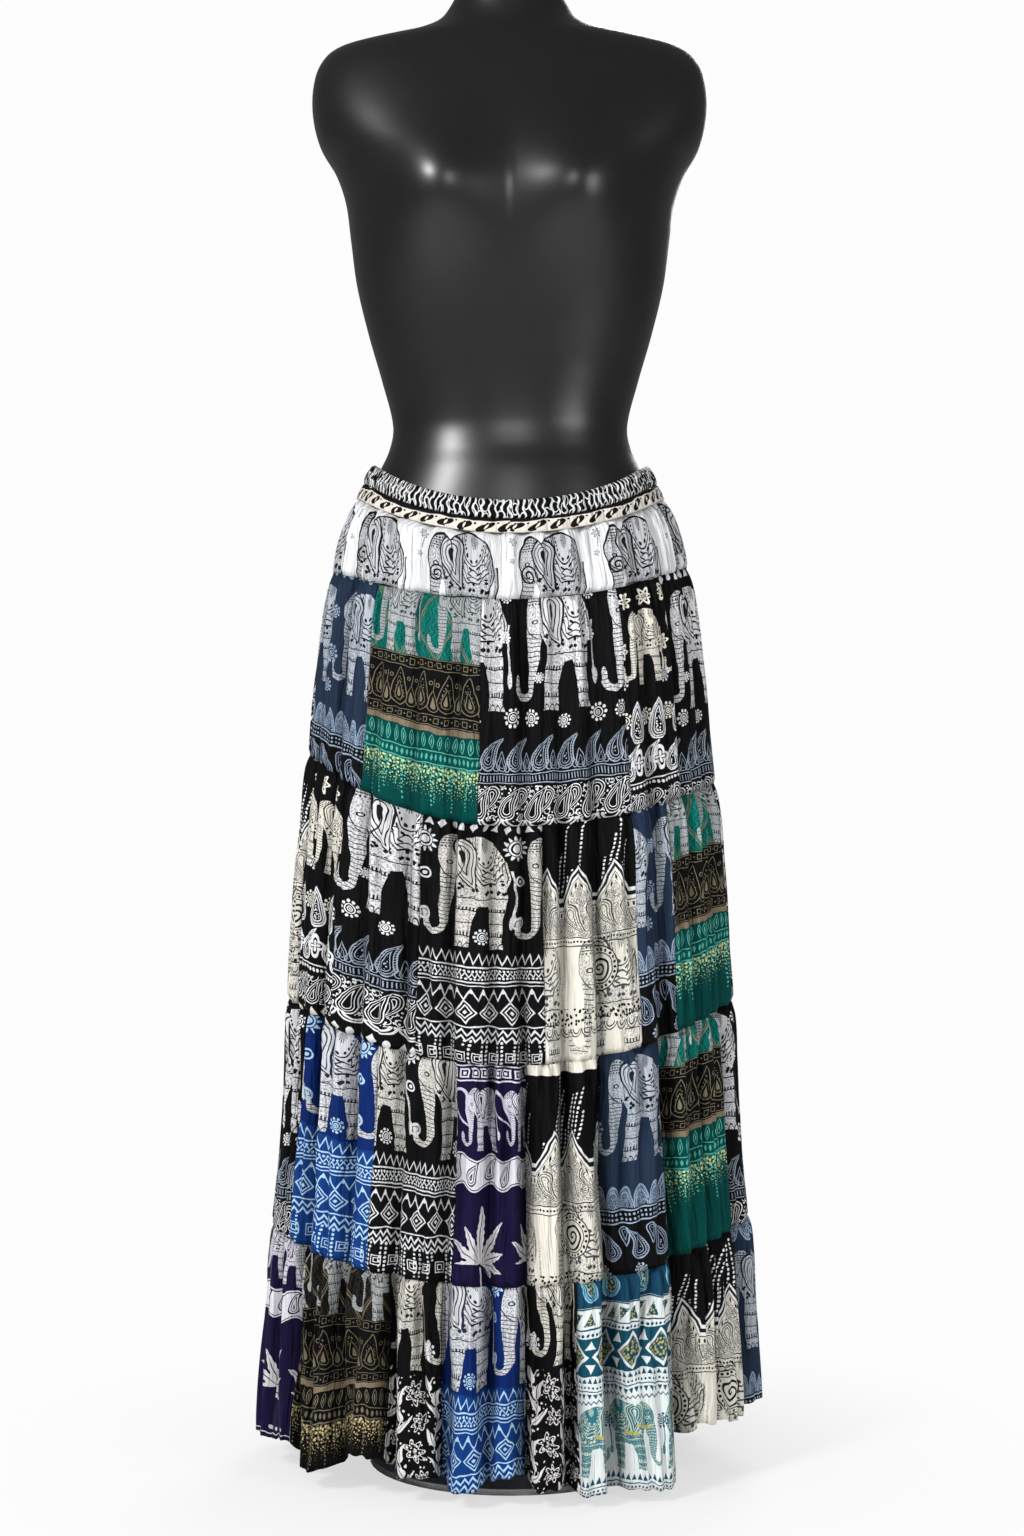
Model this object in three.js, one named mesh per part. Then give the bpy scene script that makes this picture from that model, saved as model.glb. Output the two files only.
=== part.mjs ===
// A patchwork maxi skirt with an elastic waist, worn by a limbless display form on a pole and a base plate.
// Millimetres, +Z up, -Y to the front, +X to the right as seen from the front. The floor is z = 0.
// The skirt is a yoke and four gathered tiers, and each tier is cut as a row of patches.
import * as THREE from "three";

// Driving dimensions
const clothWall = 1.5; // the thickness of one layer with its crinkles
const seamGap = 0.3; // the clear space between pieces that are sewn together
const casingWall = 5.5; // the gathered casing with the elastic inside
const casingBulge = 1.2; // how far the casing's middle stands out
const foldStart = 930; // the height at which the folds begin to grow
const foldAtStart = 0.1; // the share of a fold's depth that is there already
const foldPower = 1.35;
const seamSink = 1.6; // how far a gathered seam is drawn in
const seamSinkReach = 9; // how far below the seam that ends
const puffReach = 2.2; // how far the cloth swells out below a gathered seam
const puffAt = 34; // how far below the seam the swelling is largest
const puffLength = 30;
const baseRadius = 140;
const baseThickness = 6;
const poleRadius = 11;
const poleSides = 20;
const baseSides = 48;
const torsoSides = 40;
const bust = { apart: 74, height: 1250, wide: 50, tall: 60, reach: 20 };

const rad = THREE.MathUtils.degToRad;

// The skirt's outer reach at each height: to the side, the front and the back of the axis
const profile = [
  { z: 1000, side: 134, front: 98, back: 97 },
  { z: 980, side: 143, front: 100, back: 103 },
  { z: 960, side: 153, front: 103, back: 110 },
  { z: 940, side: 163, front: 107, back: 117 },
  { z: 915, side: 172, front: 113, back: 124 },
  { z: 890, side: 178, front: 119, back: 130 },
  { z: 860, side: 184, front: 125, back: 135 },
  { z: 800, side: 193.5, front: 134, back: 140 },
  { z: 700, side: 203, front: 145, back: 146 },
  { z: 600, side: 215.5, front: 154, back: 152 },
  { z: 500, side: 221.5, front: 163, back: 160 },
  { z: 400, side: 228, front: 172, back: 168 },
  { z: 300, side: 234.5, front: 179, back: 176 },
  { z: 200, side: 244, front: 186, back: 183 },
  { z: 100, side: 251.5, front: 193, back: 190 },
  { z: 0, side: 256, front: 199, back: 197 },
];

// The height of each level seam and edge at the centre front, the two sides and the centre back
const levels = {
  waist: { front: 947, left: 991, right: 990, back: 996 },
  casing: { front: 928, left: 972, right: 971, back: 977 },
  strip: { front: 914, left: 958, right: 957, back: 963 },
  yoke: { front: 850, left: 884, right: 888, back: 890 },
  tier1: { front: 634, left: 702, right: 674, back: 690 },
  tier2: { front: 410, left: 461, right: 458, back: 456 },
  tier3: { front: 205, left: 235, right: 243, back: 238 },
};

// Folds in order round the skirt, by the angle of the valley that each begins with, in degrees from the
// centre front. The valley's depth and how far the cloth after it stands back are at the hem, and the
// height is that of the hem itself.
const folds = [
  { valley: -85, depth: 14, back: 3, hem: 32 },
  { valley: -72, depth: 9, back: 6, hem: 38 },
  { valley: -57.8, depth: 21, back: 2, hem: 21 },
  { valley: -41.7, depth: 13, back: 0, hem: 42 },
  { valley: -27.9, depth: 17, back: 5, hem: 27 },
  { valley: -15.2, depth: 15, back: 0, hem: 18 },
  { valley: -4.6, depth: 12, back: 2, hem: 31 },
  { valley: 3.5, depth: 17, back: 4, hem: 19 },
  { valley: 13.5, depth: 20, back: 0, hem: 14 },
  { valley: 23, depth: 17, back: 1, hem: 13 },
  { valley: 43.3, depth: 24, back: 13, hem: 27 },
  { valley: 57, depth: 15, back: 12, hem: 24 },
  { valley: 71.4, depth: 19, back: 3, hem: 38 },
  { valley: 90, depth: 14, back: 0, hem: 42 },
  { valley: 106, depth: 18, back: 4, hem: 44 },
  { valley: 122, depth: 13, back: 0, hem: 38 },
  { valley: 137, depth: 19, back: 5, hem: 42 },
  { valley: 151, depth: 15, back: 0, hem: 34 },
  { valley: 165, depth: 18, back: 3, hem: 39 },
  { valley: 179, depth: 13, back: 1, hem: 31 },
  { valley: 193, depth: 20, back: 4, hem: 37 },
  { valley: 208, depth: 14, back: 0, hem: 30 },
  { valley: 224, depth: 18, back: 3, hem: 36 },
  { valley: 241, depth: 15, back: 0, hem: 29 },
  { valley: 258, depth: 17, back: 4, hem: 34 },
];
const foldStops = [0, 0.25, 0.5, 0.75]; // where a fold has its columns of points

// Each tier: the seams that it hangs between, the gathers in each fold and their depth below the seam,
// how far down they fade, and the rows of points as shares of its height
const tiers = {
  yoke: {
    top: "strip", bottom: "yoke", gathers: 1, depth: 2.6, fade: 150,
    rows: [0, 0.3, 0.65, 1],
  },
  tier1: {
    top: "yoke", bottom: "tier1", gathers: 1, depth: 3.2, fade: 120,
    rows: [0, 0.08, 0.35, 1],
  },
  tier2: {
    top: "tier1", bottom: "tier2", gathers: 2, depth: 4, fade: 110,
    rows: [0, 0.08, 0.35, 1],
  },
  tier3: {
    top: "tier2", bottom: "tier3", gathers: 2, depth: 4.4, fade: 110,
    rows: [0, 0.08, 0.35, 1],
  },
  tier4: {
    top: "tier3", bottom: "hem", gathers: 2, depth: 4.6, fade: 110,
    rows: [0, 0.08, 0.35, 0.7, 1],
  },
};

// The patches of each row in order, by the angle of the edge that each ends at, in degrees. A patch with
// a lift is cut that much shorter than its row.
const patchwork = {
  yoke: {
    start: -90,
    patches: [
      { print: "white", end: 90 },
      { print: "white", end: 270 },
    ],
  },
  tier1: {
    start: -82,
    patches: [
      { print: "slate", end: -45 },
      { print: "green", end: -8.4 },
      { print: "night", end: 34 },
      { print: "ivory", end: 55.4 },
      { print: "night", end: 92 },
      { print: "royal", end: 128 },
      { print: "gold", end: 164 },
      { print: "slate", end: 200 },
      { print: "zigzag", end: 236 },
      { print: "vine", end: 278 },
    ],
  },
  tier2: {
    start: -101,
    patches: [
      { print: "cream", end: -73.4 },
      { print: "ivory", end: -50.6 },
      { print: "night", end: -23.5 },
      { print: "zigzag", end: 8.5 },
      { print: "cream", end: 34 },
      { print: "slate", end: 47.4 },
      { print: "green", end: 80 },
      { print: "night", end: 112 },
      { print: "leaf", end: 141 },
      { print: "vine", end: 170 },
      { print: "royal", end: 200 },
      { print: "gold", end: 229 },
      { print: "slate", end: 259 },
    ],
  },
  tier3: {
    start: -92,
    patches: [
      { print: "night", end: -63.8 },
      { print: "royal", end: -34.2 },
      { print: "zigzag", end: -13.1 },
      { print: "leaf", end: 3.9 },
      { print: "cream", end: 23 },
      { print: "slate", end: 42 },
      { print: "green", end: 72 },
      { print: "night", end: 100 },
      { print: "gold", end: 128 },
      { print: "cream", end: 156 },
      { print: "royal", end: 184 },
      { print: "vine", end: 212 },
      { print: "teal", end: 240 },
      { print: "zigzag", end: 268 },
    ],
  },
  tier4: {
    start: -88,
    patches: [
      { print: "leaf", end: -60.6 },
      { print: "gold", end: -29.5 },
      { print: "vine", end: -15.7 },
      { print: "royal", end: 3.5 },
      { print: "vine", end: 15.2 },
      { print: "teal", end: 42.3 },
      { print: "cream", end: 71.4, lift: 34 },
      { print: "slate", end: 96, lift: 30 },
      { print: "night", end: 121, lift: 16 },
      { print: "green", end: 146 },
      { print: "leaf", end: 171 },
      { print: "zigzag", end: 196 },
      { print: "royal", end: 221 },
      { print: "cream", end: 246 },
      { print: "gold", end: 272 },
    ],
  },
};

// Sections of the display form from the neck down: half width, reach to the front and the back, and how
// square the section is, where 2 is an ellipse
const torso = [
  { z: 1502, side: 47, front: 43, back: 47, square: 2 },
  { z: 1498, side: 50, front: 46, back: 50, square: 2 },
  { z: 1468, side: 52, front: 47, back: 54, square: 2 },
  { z: 1446, side: 62, front: 50, back: 60, square: 2 },
  { z: 1432, side: 76, front: 53, back: 66, square: 2 },
  { z: 1422, side: 104, front: 56, back: 71, square: 2 },
  { z: 1415, side: 140, front: 59, back: 75, square: 2.1 },
  { z: 1406, side: 172, front: 63, back: 80, square: 2.3 },
  { z: 1392, side: 188, front: 70, back: 87, square: 2.5 },
  { z: 1370, side: 196, front: 80, back: 95, square: 2.6 },
  { z: 1340, side: 197, front: 92, back: 102, square: 2.6 },
  { z: 1310, side: 190, front: 103, back: 106, square: 2.5 },
  { z: 1282, side: 174, front: 111, back: 107, square: 2.4 },
  { z: 1252, side: 164, front: 115, back: 106, square: 2.3 },
  { z: 1215, side: 159, front: 113, back: 103, square: 2.2 },
  { z: 1170, side: 153, front: 105, back: 99, square: 2.2 },
  { z: 1120, side: 141, front: 95, back: 92, square: 2.2 },
  { z: 1075, side: 128, front: 87, back: 86, square: 2.2 },
  { z: 1030, side: 117, front: 83, back: 83, square: 2.2 },
  { z: 1005, side: 121, front: 85, back: 85, square: 2.2 },
  { z: 980, side: 133, front: 91, back: 93, square: 2.1 },
  { z: 950, side: 147, front: 96, back: 103, square: 2.05 },
  { z: 915, side: 157, front: 101, back: 113, square: 2 },
  { z: 870, side: 165, front: 104, back: 120, square: 2 },
  { z: 820, side: 170, front: 105, back: 123, square: 2 },
  { z: 770, side: 167, front: 103, back: 119, square: 2 },
  { z: 725, side: 160, front: 97, back: 109, square: 2 },
  { z: 700, side: 146, front: 84, back: 94, square: 2 },
];

const colours = {
  white: 0xd9dade,
  slate: 0x3d4f6e,
  green: 0x11775f,
  night: 0x26272c,
  ivory: 0x2a2927,
  royal: 0x1d3f8f,
  gold: 0x2b271d,
  zigzag: 0x2c2c2f,
  vine: 0x3a3a3c,
  leaf: 0x2a2350,
  cream: 0xd8d1c0,
  teal: 0x1d6a78,
  casing: 0x4a4a4e,
  strip: 0xd9cfc2,
  form: 0x1b1c1e,
  steel: 0x8d9095,
};

// The value of a table's column at a height, on a smooth curve through its rows
function column(table, name, z) {
  let i = table.findIndex((row, k) => k + 2 === table.length || table[k + 1].z <= z);
  i = Math.max(i, 0);
  const [upper, lower] = [table[i], table[i + 1]];
  const above = table[i - 1] ?? upper;
  const below = table[i + 2] ?? lower;
  const step = lower.z - upper.z;
  const share = THREE.MathUtils.clamp((z - upper.z) / step, 0, 1);
  const startSlope = ((lower[name] - above[name]) / (lower.z - above.z)) * step;
  const endSlope = ((below[name] - upper[name]) / (below.z - upper.z)) * step;
  const squared = share * share;
  const cubed = squared * share;
  return (
    upper[name] * (2 * cubed - 3 * squared + 1) +
    startSlope * (cubed - 2 * squared + share) +
    lower[name] * (3 * squared - 2 * cubed) +
    endSlope * (cubed - squared)
  );
}

// The height of a seam at an angle round the skirt, or of the hem, which rises and falls with the folds
function levelAt(name, angle) {
  if (name === "hem") {
    return foldAt(angle).hem;
  }
  const level = levels[name];
  const end = Math.cos(angle) > 0 ? level.front : level.back;
  const side = Math.sin(angle) > 0 ? level.right : level.left;
  return end * Math.cos(angle) ** 2 + side * Math.sin(angle) ** 2;
}

// The fold at an angle: how far across it the angle lies, and its depth, set-back and hem there
function foldAt(angle) {
  const first = folds[0].valley;
  const turned = THREE.MathUtils.euclideanModulo(THREE.MathUtils.radToDeg(angle) - first, 360) + first;
  const i = folds.findLastIndex((fold) => fold.valley <= turned + 1e-9);
  const fold = folds[i];
  const next = folds[(i + 1) % folds.length];
  const width = THREE.MathUtils.euclideanModulo(next.valley - fold.valley, 360);
  const across = THREE.MathUtils.clamp((turned - fold.valley) / width, 0, 1);
  const beside = across < 0.5 ? folds.at(i - 1) : next;
  const ownHem = 0.5 + 0.5 * THREE.MathUtils.smoothstep(Math.min(across, 1 - across), 0, 0.25);
  return {
    across,
    depth: THREE.MathUtils.lerp(fold.depth, next.depth, THREE.MathUtils.smoothstep(across, 0, 1)),
    back: fold.back,
    hem: THREE.MathUtils.lerp(beside.hem, fold.hem, ownHem),
  };
}

// How far the cloth lies inside its outer reach, at an angle and a height, some way below its tier's seam
function sinkAt(angle, z, tier, belowSeam) {
  const { across, depth, back } = foldAt(angle);
  const down = THREE.MathUtils.clamp((foldStart - z) / foldStart, 0, 1);
  const grown = foldAtStart + (1 - foldAtStart) * down ** foldPower;
  const valley = Math.cos(Math.PI * across) ** 4 * depth * grown;
  const setBack = Math.sin(Math.PI * across) ** 2 * back * grown;
  const fading = Math.exp(-((belowSeam / tier.fade) ** 2));
  const gather = (0.5 + 0.5 * Math.cos(2 * Math.PI * tier.gathers * across)) * tier.depth * fading;
  const drawnIn = seamSink * Math.exp(-((belowSeam / seamSinkReach) ** 2));
  const puff = puffReach * Math.exp(-(((belowSeam - puffAt) / puffLength) ** 2));
  return valley + setBack + gather + drawnIn - puff;
}

// The point of the skirt's outer surface at an angle and a height
function surfacePoint(angle, z, sink) {
  const [s, c] = [Math.sin(angle), Math.cos(angle)];
  const reach = [column(profile, "side", z), column(profile, c > 0 ? "front" : "back", z)];
  const normal = new THREE.Vector2(s / reach[0], -c / reach[1]).normalize();
  return new THREE.Vector3(reach[0] * s - normal.x * sink, -reach[1] * c - normal.y * sink, z);
}

// A column of points down a tier, at an angle
function tierColumn(tier, angle, lift) {
  const top = levelAt(tier.top, angle);
  const bottom = levelAt(tier.bottom, angle) + (tier.bottom === "hem" ? lift : seamGap);
  return tier.rows.map((share) => {
    const z = THREE.MathUtils.lerp(top, bottom, share);
    return surfacePoint(angle, z, sinkAt(angle, z, tier, top - z));
  });
}

// The same column moved in through the wall, square to the cloth and level
function innerColumn(outer, before, after, wall) {
  return outer.map((point, i) => {
    const along = after[i].clone().sub(before[i]);
    const inward = new THREE.Vector3(-along.y, along.x, 0).normalize();
    return point.clone().addScaledVector(inward, wall);
  });
}

// The angles at which a stretch of cloth has its columns: its two edges and the stops of each fold
function columnAngles(start, end) {
  const least = rad(1.2);
  const inside = [];
  for (const turn of [-360, 0, 360]) {
    folds.forEach((fold, i) => {
      const next = folds[(i + 1) % folds.length];
      const width = THREE.MathUtils.euclideanModulo(next.valley - fold.valley, 360);
      foldStops.forEach((stop) => inside.push(rad(fold.valley + turn + stop * width)));
    });
  }
  return [start, ...inside.filter((a) => a > start + least && a < end - least), end];
}

// Triangles between loops of equal length. Closed loops run on round to the first, and open ones get ends.
function lofted(loops, closed) {
  const size = loops[0].length;
  const positions = loops.flat().flatMap((point) => [point.x, point.y, point.z]);
  const index = [];
  const quad = (a, b, c, d) => index.push(a, b, c, a, c, d);
  const steps = closed ? loops.length : loops.length - 1;
  for (let i = 0; i < steps; i++) {
    const [here, next] = [i * size, ((i + 1) % loops.length) * size];
    for (let k = 0; k < size; k++) {
      const after = (k + 1) % size;
      quad(here + k, here + after, next + after, next + k);
    }
  }
  if (!closed) {
    const last = (loops.length - 1) * size;
    for (let k = 0; k < size / 2 - 1; k++) {
      const [far, farther] = [size - 1 - k, size - 2 - k];
      quad(far, farther, k + 1, k);
      quad(last + k, last + k + 1, last + farther, last + far);
    }
  }
  const geometry = new THREE.BufferGeometry();
  geometry.setAttribute("position", new THREE.Float32BufferAttribute(positions, 3));
  geometry.setIndex(index);
  return geometry;
}

// A patch of a tier: a wall between two angles, clear of the patches beside it
function patchGeometry(tier, startDegrees, endDegrees, lift) {
  const inset = seamGap / 2 / column(profile, "front", levels[tier.top].front);
  const nudge = rad(0.4);
  const angles = columnAngles(rad(startDegrees) + inset, rad(endDegrees) - inset);
  const loops = angles.map((angle) => {
    const outer = tierColumn(tier, angle, lift);
    const before = tierColumn(tier, angle - nudge, lift);
    const after = tierColumn(tier, angle + nudge, lift);
    const inner = innerColumn(outer, before, after, clothWall);
    return [...outer, ...inner.reverse()];
  });
  return lofted(loops, false);
}

// A ring of cloth between two levels. Each point of its section gives its share of the way down and how
// far it stands out from the reach.
function ringGeometry(topName, bottomName, bottomGap, section) {
  const angles = columnAngles(rad(folds[0].valley), rad(folds[0].valley + 360)).slice(0, -1);
  const loops = angles.map((angle) => {
    const top = levelAt(topName, angle);
    const bottom = levelAt(bottomName, angle) + bottomGap;
    return section.map(({ down, out }) =>
      surfacePoint(angle, THREE.MathUtils.lerp(top, bottom, down), -out),
    );
  });
  return lofted(loops, true);
}

function casingGeometry() {
  return ringGeometry("waist", "casing", seamGap, [
    { down: 0.12, out: 0 },
    { down: 0.5, out: casingBulge },
    { down: 0.88, out: 0 },
    { down: 1, out: -1.6 },
    { down: 1, out: 1.6 - casingWall },
    { down: 0.85, out: -casingWall },
    { down: 0.15, out: -casingWall },
    { down: 0, out: 1.6 - casingWall },
    { down: 0, out: -1.6 },
  ]);
}

function stripGeometry() {
  return ringGeometry("casing", "strip", seamGap, [
    { down: 0, out: -0.6 },
    { down: 0.5, out: 0.4 },
    { down: 1, out: -0.4 },
    { down: 1, out: -0.4 - clothWall },
    { down: 0.5, out: 0.4 - clothWall },
    { down: 0, out: -0.6 - clothWall },
  ]);
}

// A point of the display form's section, with the bust as one soft swelling to each side
function torsoPoint(row, angle) {
  const [s, c] = [Math.sin(angle), Math.cos(angle)];
  const bent = (value) => Math.sign(value) * Math.abs(value) ** (2 / row.square);
  const x = row.side * bent(s);
  const depth = (c > 0 ? row.front : row.back) * bent(c);
  const rise = Math.exp(-(((row.z - bust.height) / bust.tall) ** 2));
  const lobe = Math.exp(-(((Math.abs(x) - bust.apart) / bust.wide) ** 2));
  const swell = c > 0 ? bust.reach * rise * lobe * Math.min(1, c * 2) : 0;
  return new THREE.Vector3(x, -(depth + swell), row.z);
}

// The display form, closed at the neck and below the hips
function torsoGeometry() {
  const first = torso[0];
  const last = torso.at(-1);
  const rings = torso.map((row) =>
    Array.from({ length: torsoSides }, (_, k) => torsoPoint(row, (2 * Math.PI * k) / torsoSides)),
  );
  const centres = [first, last].map((row) => new THREE.Vector3(0, (row.back - row.front) / 2, row.z));
  const positions = [...rings.flat(), ...centres].flatMap((point) => [point.x, point.y, point.z]);
  const index = [];
  const lastRing = (rings.length - 1) * torsoSides;
  const centre = rings.length * torsoSides;
  for (let k = 0; k < torsoSides; k++) {
    const after = (k + 1) % torsoSides;
    for (let i = 0; i < rings.length - 1; i++) {
      const [upper, lower] = [i * torsoSides, (i + 1) * torsoSides];
      index.push(upper + k, lower + k, lower + after, upper + k, lower + after, upper + after);
    }
    index.push(centre, k, after);
    index.push(centre + 1, lastRing + after, lastRing + k);
  }
  const geometry = new THREE.BufferGeometry();
  geometry.setAttribute("position", new THREE.Float32BufferAttribute(positions, 3));
  geometry.setIndex(index);
  return geometry;
}

function named(name, geometry, colour, roughness, metalness = 0) {
  const material = new THREE.MeshStandardMaterial({ color: colours[colour], roughness, metalness });
  const mesh = new THREE.Mesh(geometry, material);
  mesh.name = name;
  return mesh;
}

// A cylinder standing on a height
function upright(radius, bottom, height, sides) {
  return new THREE.CylinderGeometry(radius, radius, height, sides)
    .rotateX(Math.PI / 2)
    .translate(0, 0, bottom + height / 2);
}

function skirtGroup() {
  const group = new THREE.Group();
  group.add(named("waist_casing", casingGeometry(), "casing", 0.85));
  group.add(named("waist_strip", stripGeometry(), "strip", 0.85));
  for (const [tierName, row] of Object.entries(patchwork)) {
    let start = row.start;
    row.patches.forEach(({ print, end, lift = 0 }, i) => {
      const name = `${tierName}_${String(i + 1).padStart(2, "0")}_${print}`;
      group.add(named(name, patchGeometry(tiers[tierName], start, end, lift), print, 0.8));
      start = end;
    });
  }
  return group;
}

function formGroup() {
  const group = new THREE.Group();
  const poleBottom = baseThickness + seamGap;
  const poleTop = torso.at(-1).z - seamGap;
  group.add(named("form_torso", torsoGeometry(), "form", 0.25));
  const pole = upright(poleRadius, poleBottom, poleTop - poleBottom, poleSides);
  const base = upright(baseRadius, 0, baseThickness, baseSides);
  group.add(named("form_pole", pole, "steel", 0.3, 1));
  group.add(named("form_base", base, "steel", 0.35, 1));
  return group;
}

const dressedForm = new THREE.Group();
dressedForm.add(skirtGroup(), formGroup());

// The origin is the middle of the bounding box's bottom
const box = new THREE.Box3().setFromObject(dressedForm, true);
const middle = box.getCenter(new THREE.Vector3());
dressedForm.position.set(-middle.x, -middle.y, -box.min.z);

export default dressedForm;
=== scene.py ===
# A patchwork maxi skirt of gathered tiers on a plain limbless display form, with its pole and base.
# The skirt's own sizes are in millimetres and degrees, and the meshes in metres.
from functools import partialmethod

import bmesh
import bpy
import numpy as np
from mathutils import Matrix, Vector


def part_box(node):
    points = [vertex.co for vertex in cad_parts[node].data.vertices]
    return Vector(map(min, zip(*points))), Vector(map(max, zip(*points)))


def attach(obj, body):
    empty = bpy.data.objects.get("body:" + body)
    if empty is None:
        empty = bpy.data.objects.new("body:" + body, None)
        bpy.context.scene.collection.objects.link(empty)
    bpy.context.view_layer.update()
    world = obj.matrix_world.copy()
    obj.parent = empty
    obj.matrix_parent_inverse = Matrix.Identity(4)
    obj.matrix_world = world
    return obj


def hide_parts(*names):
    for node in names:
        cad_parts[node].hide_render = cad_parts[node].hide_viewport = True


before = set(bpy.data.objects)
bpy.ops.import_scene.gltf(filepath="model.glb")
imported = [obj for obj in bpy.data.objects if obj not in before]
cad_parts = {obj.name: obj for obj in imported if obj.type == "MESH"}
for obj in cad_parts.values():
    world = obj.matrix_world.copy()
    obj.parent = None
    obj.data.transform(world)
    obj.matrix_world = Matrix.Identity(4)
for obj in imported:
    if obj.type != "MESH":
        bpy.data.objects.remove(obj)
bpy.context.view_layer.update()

# ---- camera
camera = {"distance": 2.6, "height": 0.689, "aside": 0.001, "tall": 1.536}
cameraData = bpy.data.cameras.new("camera")
cameraData.sensor_fit = "VERTICAL"
cameraData.lens = cameraData.sensor_height * camera["distance"] / camera["tall"]
cameraObject = bpy.data.objects.new("camera", cameraData)
cameraObject.location = (camera["aside"], -camera["distance"], camera["height"])
cameraObject.rotation_euler = (np.pi / 2, 0, 0)
bpy.context.scene.collection.objects.link(cameraObject)
bpy.context.scene.camera = cameraObject
print("camera set")

# ---- the skirt's shape, the same tables as the solids have
baseLow, baseHigh = (np.array(corner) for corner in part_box("form_base"))
middle = (baseLow + baseHigh)[:2] * 500  # where the form's axis is, in mm

shape = {
    "foldStart": 930, "foldAtStart": 0.1, "foldPower": 1.15,  # where the folds begin to grow, and how
    "seamSink": 1.6, "seamSinkReach": 9,  # how far a gathered seam is drawn in
    "puffReach": 1.4, "puffAt": 34, "puffLength": 30,  # the swelling below a gathered seam
    "tuck": 0.7, "tuckReach": 3,  # how the upper cloth rounds in above a seam to meet it
    "pleat": 9, "pleatWidth": 4.5,  # the narrow groove at the bottom of each fold
    "fineGrowth": (0.8, 1.9), "creaseGrowth": (0.9, 1.6),  # how much deeper they are further down
    "creaseSpread": 0.6, "hemWave": 1.6,  # how much wider they are there, and how uneven the hem's edge is
    "pucker": 0.7, "puckerReach": 1.6,  # the groove along a patch's side seam
    "heldWithin": 7,  # how far from a seam the fine folds and creases reach their full depth
    "wall": 0.8, "sideGap": 0.1, "gapReach": 200,  # gapReach turns the gap between patches into an angle
    "endGap": 0.1, "measuredAt": (0.15, 0.6, 0.95),  # the shares of a patch's height where its width is taken
    "stepAcross": 1.55, "stepDown": 6,  # the grid's size
}
profile = {  # height: reach to the side, the front and the back
    1000: (134, 98, 97), 980: (143, 100, 103), 960: (153, 103, 110), 940: (163, 107, 117),
    915: (172, 113, 124), 890: (178, 119, 130), 860: (184, 125, 135), 800: (193.5, 134, 140),
    700: (203, 145, 146), 600: (215.5, 154, 152), 500: (221.5, 163, 160), 400: (228, 172, 168),
    300: (234.5, 179, 176), 200: (244, 186, 183), 100: (251.5, 193, 190), 0: (256, 199, 197),
}
levels = {  # height of each seam at the centre front, left, right and centre back
    "waist": (947, 991, 990, 996), "casing": (928, 972, 971, 977), "strip": (914, 958, 957, 963),
    "yoke": (850, 884, 888, 890), "tier1": (634, 702, 674, 690), "tier2": (410, 461, 458, 456),
    "tier3": (205, 235, 243, 238),
}
folds = np.array([  # valley's angle, its depth, how far the cloth after it stands back, height of the hem
    (-85, 14, 3, 32), (-72, 9, 6, 38), (-57.8, 21, 2, 21), (-41.7, 13, 0, 42), (-27.9, 17, 5, 27),
    (-15.2, 15, 0, 18), (-4.6, 12, 2, 31), (3.5, 17, 4, 19), (13.5, 20, 0, 14), (23, 17, 1, 13),
    (43.3, 24, 13, 27), (57, 15, 12, 24), (71.4, 19, 3, 38), (90, 14, 0, 42), (106, 18, 4, 44),
    (122, 13, 0, 38), (137, 19, 5, 42), (151, 15, 0, 34), (165, 18, 3, 39), (179, 13, 1, 31),
    (193, 20, 4, 37), (208, 14, 0, 30), (224, 18, 3, 36), (241, 15, 0, 29), (258, 17, 4, 34),
])
tiers = {  # the seams it hangs between, gathers in each fold, their depth, how far down they fade
    "yoke": ("strip", "yoke", 1, 2.6, 150), "tier1": ("yoke", "tier1", 1, 3.2, 120),
    "tier2": ("tier1", "tier2", 2, 4, 110), "tier3": ("tier2", "tier3", 2, 4.4, 110),
    "tier4": ("tier3", "hem", 2, 4.6, 110),
}
fineFolds = [  # grooves round the skirt, depth, how far below the seam they fade, how much they sway
    (94, 1.9, 60, 0.5), (121, 1.6, 45, 0.8), (151, 1.2, 34, 1.1),
    (58, 1.3, 600, 1.6), (77, 1.1, 600, 2.1), (103, 0.8, 600, 2.6), (139, 0.5, 600, 3.1),
]
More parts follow.
